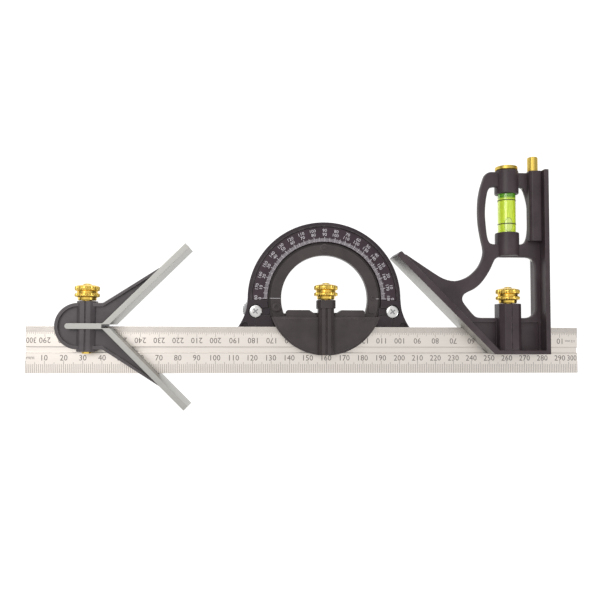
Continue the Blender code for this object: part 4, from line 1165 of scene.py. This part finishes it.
def make_square_head():
    """The web, its border, the bosses and the vial's sleeves, with every bore cut last."""
    clamp_x, top = SQUARE_CLAMP_X, SQUARE_CLAMP_TOP
    web = plate([square_outline(), finger_opening(), vial_window()], WEB_BACK, WEB_FRONT, 0.9)
    rims = [plate([panel(side)], WEB_FRONT - 1.2, SQUARE_DEPTH) for side in (-1, 1)]
    border = plate([square_border()], 0.0, SQUARE_DEPTH, 0.3)
    boss = column(boss_section(12.2, 19.6, 0.0, 0.6), clamp_x, FOOT + 1.0, top, 0.4)
    boss_cut = block((clamp_x - 0.3, FOOT + 3.0, 19.2), (clamp_x + 0.3, top + 1.0, SQUARE_DEPTH))
    scriber_boss = column(scriber_section(), SCRIBER_X, 47.3, SQUARE_HEIGHT - 0.2, 0.4)
    sleeves = [rod(SLEEVE_RADIUS, (VIAL_X, low, VIAL_Z), high - low, "Y", 56, 0.7)
               for low, high in ((VIAL_LOW - 2.4, VIAL_LOW + 10.7), (VIAL_TOP - 10.5, VIAL_TOP + 2.7))]
    bores = [rod(5.2, (VIAL_X, VIAL_LOW - GAP, VIAL_Z), 50.0, "Y", 56),
             rod(SCRIBER_BORE, (SCRIBER_X, 49.4, SCRIBER_Z), 40.0, "Y", 24)]
    mesh = worked(web, ("DIFFERENCE", *rims), ("UNION", border, boss, scriber_boss, *sleeves),
                  ("DIFFERENCE", boss_cut, *bores, rule_slot(-100.0, 2.0, FOOT - 2.0, GAP),
                   *clamp_cuts(clamp_x, 0.0, FOOT, top)))
    across = Vector((-ROOT, -ROOT, 0.0))

    def is_ground(middle, normal):
        """The square face, the mitre face and the foot are ground bright."""
        on_square = middle.x > -0.15 and normal.x > 0.9
        return on_square or normal.dot(across) > 0.98 and middle.z < SQUARE_DEPTH - 0.2

    second_finish(mesh, is_ground)
    piece("square_head_casting", mesh, SQUARE_AT, "square_head", [SQUARE_PAINT, GROUND], "square_head")
    make_clamp("square_head", SQUARE_AT, clamp_x, top + GAP)


make_square_head()


# %% [markdown]
# ### Vial
#
# The vial is a clear tube of bright liquid with a bubble and two black rings, held in two sleeves and
# closed by a brass cap. The bubble floats to the uppermost side of the tube, so with the set on its
# back it lies against the front.

# %% Vial tube, liquid, rings and bubble
RING_HEIGHTS = (("low", 57.1), ("top", 70.3))
RING_HALF = 0.22
BUBBLE_HEIGHT = 56.4


def make_vial():
    """The tube, the liquid inside it and the two rings round it."""
    outer, inner, low, high = VIAL_RADIUS, VIAL_RADIUS - 0.1, VIAL_LOW, VIAL_TOP
    wall = [(inner, low), (outer, low), (outer, high), (inner, high)]
    tube = spun(wall, (VIAL_X, 0.0, VIAL_Z), "Y", 64, closed=True)
    piece("vial_glass", tube, SQUARE_AT, "square_head", VIAL_CLEAR, "vial_tube")
    fluid = rod(FLUID_RADIUS, (VIAL_X, low + 3.3, VIAL_Z), high - low - 6.6, "Y", 64, 0.2)
    piece("vial_liquid", fluid, SQUARE_AT, "square_head", VIAL_FLUID, "vial_fluid")
    for word, at in RING_HEIGHTS:
        profile = [(outer - 0.02, at - RING_HALF), (outer + 0.06, at - RING_HALF),
                   (outer + 0.06, at + RING_HALF), (outer - 0.02, at + RING_HALF)]
        ring = spun(profile, (VIAL_X, 0.0, VIAL_Z), "Y", 64, closed=True)
        piece(f"vial_ring_{word}", ring, SQUARE_AT, "square_head", DARK_INK)


def make_bubble():
    """A bubble wrapped against the front of the tube, a hair proud of the liquid so that it shows."""
    shape = bmesh.new()
    bmesh.ops.create_uvsphere(shape, u_segments=48, v_segments=24, radius=1.0)
    middle, half_turn, half_length = -0.14, 0.62, 5.2
    for vertex in shape.verts:
        across, along, out = vertex.co
        angle = middle + across * half_turn
        radius = FLUID_RADIUS - 0.25 + 0.41 * out
        vertex.co = Vector((VIAL_X + radius * math.sin(angle), BUBBLE_HEIGHT + along * half_length,
                            VIAL_Z + radius * math.cos(angle))) * MM
    mesh = finished(shape)
    # Faces near the liquid's surface take the darker finish: a painted shade ring round the bubble.
    rim = FLUID_RADIUS + 0.045
    second_finish(mesh, lambda at, normal: math.hypot(at.x - VIAL_X, at.z - VIAL_Z) < rim)
    piece("vial_bubble", mesh, SQUARE_AT, "square_head", [BUBBLE_CLEAR, BUBBLE_RIM_SHADE])


make_vial()
make_bubble()


# %% Cap and scriber head
def make_cap():
    """A flat brass disc on a spigot that plugs the upper sleeve."""
    low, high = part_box("vial_cap")
    spigot = low.y / MM - RULE_EDGE
    seat = VIAL_TOP + 3.0
    crown = high.y / MM - RULE_EDGE - 0.7
    radius = SLEEVE_RADIUS - 0.4
    profile = [(0.0, spigot), (4.7, spigot), (4.7, seat), (radius - 0.2, seat), (radius, seat + 0.2),
               (radius, crown - 0.6), (radius - 0.15, crown - 0.25),
               (radius - 0.5, crown - 0.05), (0.0, crown)]
    piece("vial_end_cap", spun(profile, (VIAL_X, 0.0, VIAL_Z), "Y", 64), SQUARE_AT, "square_head",
          CAP_BRASS, "vial_cap")


def make_scriber_head():
    """A small brass knob with a fine knurl and a socket for the needle."""
    base, crown, radius = SQUARE_HEIGHT + 0.1, SCRIBER_TOP, 2.8
    profile = [(0.0, base), (radius - 0.3, base), (radius, base + 0.3), (radius, crown - 0.5),
               (radius - 0.15, crown - 0.2), (radius - 0.5, crown), (0.0, crown)]
    closed = spun(profile, (0.0, 0.0, 0.0), "Z", 96)
    knurl(closed, radius - 0.05, 24, 0.06)
    mesh = worked(closed, ("DIFFERENCE", rod(SCRIBER_BORE, (0.0, 0.0, base - 1.0), 4.0, "Z", 24)))
    mesh.transform(Matrix.Translation((SCRIBER_X * MM, 0.0, SCRIBER_Z * MM))
                   @ Matrix.Rotation(math.radians(-90), 4, "X"))
    second_finish(mesh, lambda middle, normal: normal.y > 0.9 and middle.y > crown - 0.3)
    piece("scriber_knob", mesh, SQUARE_AT, "scriber", [CAP_BRASS, DARK_STEEL_AND_RECESS_SHADE], "scriber_head")


make_cap()
make_scriber_head()


# %% [markdown]
# ## Pieces kept from the frame
#
# The needle, the shoes, the enamelled band and the plugs are the right shape already, so they stay
# and only take a finish. Their finish goes in the object's own material slots.

# %% Finish the kept nodes
for name, finish in (("scriber_needle", NEEDLE_STEEL), ("turret_shoe_left", FRAME_PAINT),
                     ("turret_shoe_right", FRAME_PAINT), ("degree_band", BAND_PAINT),
                     ("vial_plug_low", PLUG_WHITE), ("vial_plug_top", PLUG_WHITE)):
    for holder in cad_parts[name].material_slots:
        holder.material = finish
    print(f"{name} keeps its shape and takes {finish.name}")


# %% [markdown]
# ## Table, light and camera
#
# The set lies on a white light table: the top glows a little, which lifts its own shadows and lights
# the pieces from below, as in a catalogue picture. One broad lamp overhead and two softer ones at the
# sides do the rest. The camera looks almost straight down.

# %% Light table
TABLE_HALF = 40.0


def make_table():
    """A wide sheet at the height of the object's back, lit a little from within."""
    shape = bmesh.new()
    bmesh.ops.create_grid(shape, x_segments=1, y_segments=1, size=TABLE_HALF)
    mesh = as_mesh(shape)
    table = bpy.data.objects.new("light_table", mesh)
    bpy.context.scene.collection.objects.link(table)
    material, tree, shader = new_material("table_white", Roughness=0.9, Emission_Strength=0.94)
    shader.inputs["Base Color"].default_value = (0.30, 0.30, 0.30, 1.0)
    shader.inputs["Emission Color"].default_value = (1.0, 1.0, 1.0, 1.0)
    mesh.materials.append(material)


make_table()


# %% Lamps and surroundings
def lamp(name, at, towards, size, power, colour=(1.0, 1.0, 1.0)):
    """A square area lamp that faces a point."""
    light = bpy.data.lights.new(name, "AREA")
    light.size = size
    light.energy = power
    light.color = colour
    holder = bpy.data.objects.new(name, light)
    holder.location = at
    holder.rotation_euler = (Vector(towards) - Vector(at)).to_track_quat("-Z", "Y").to_euler()
    bpy.context.scene.collection.objects.link(holder)


lamp("key", (-0.45, 0.35, 0.95), (0.0, 0.0, 0.0), 0.55, 2.8, (1.0, 0.985, 0.96))
lamp("fill", (0.95, -0.35, 0.60), (0.05, 0.0, 0.0), 0.50, 1.5, (0.96, 0.98, 1.0))
lamp("back", (0.05, 0.95, 0.45), (0.0, 0.0, 0.0), 0.60, 2.0)


def make_world():
    """A bright ceiling that falls off towards dark walls, which gives bare metal its contrast."""
    world = bpy.data.worlds.new("studio")
    world.use_nodes = True
    tree = world.node_tree
    background = tree.nodes["Background"]
    background.inputs["Color"].default_value = (0.95, 0.94, 0.93, 1.0)
    place = node(tree, "ShaderNodeTexCoord")
    parts = node(tree, "ShaderNodeSeparateXYZ", {}, Vector=place.outputs["Generated"])
    level = spread(tree, parts.outputs["Z"], (0.15, 0.95, 0.18, 1.0), "SMOOTHSTEP")
    tree.links.new(level, background.inputs["Strength"])
    bpy.context.scene.world = world


make_world()
bpy.context.scene.view_settings.view_transform = "Standard"


# %% Camera
camera_data = bpy.data.cameras.new("camera")
camera_data.lens = 39.3
camera_data.sensor_width = 36.0
camera_data.clip_start = 0.01
camera_data.dof.use_dof = False
camera = bpy.data.objects.new("camera", camera_data)
camera.matrix_world = (Matrix.Translation((-0.0253, -0.0266, 0.3646))
                       @ Matrix.Rotation(math.radians(-3.353), 4, "Y")
                       @ Matrix.Rotation(math.radians(2.563), 4, "X")
                       @ Matrix.Rotation(math.radians(0.171), 4, "Z"))
bpy.context.scene.collection.objects.link(camera)
bpy.context.scene.camera = camera
print("camera at", [round(value, 4) for value in camera.matrix_world.translation])
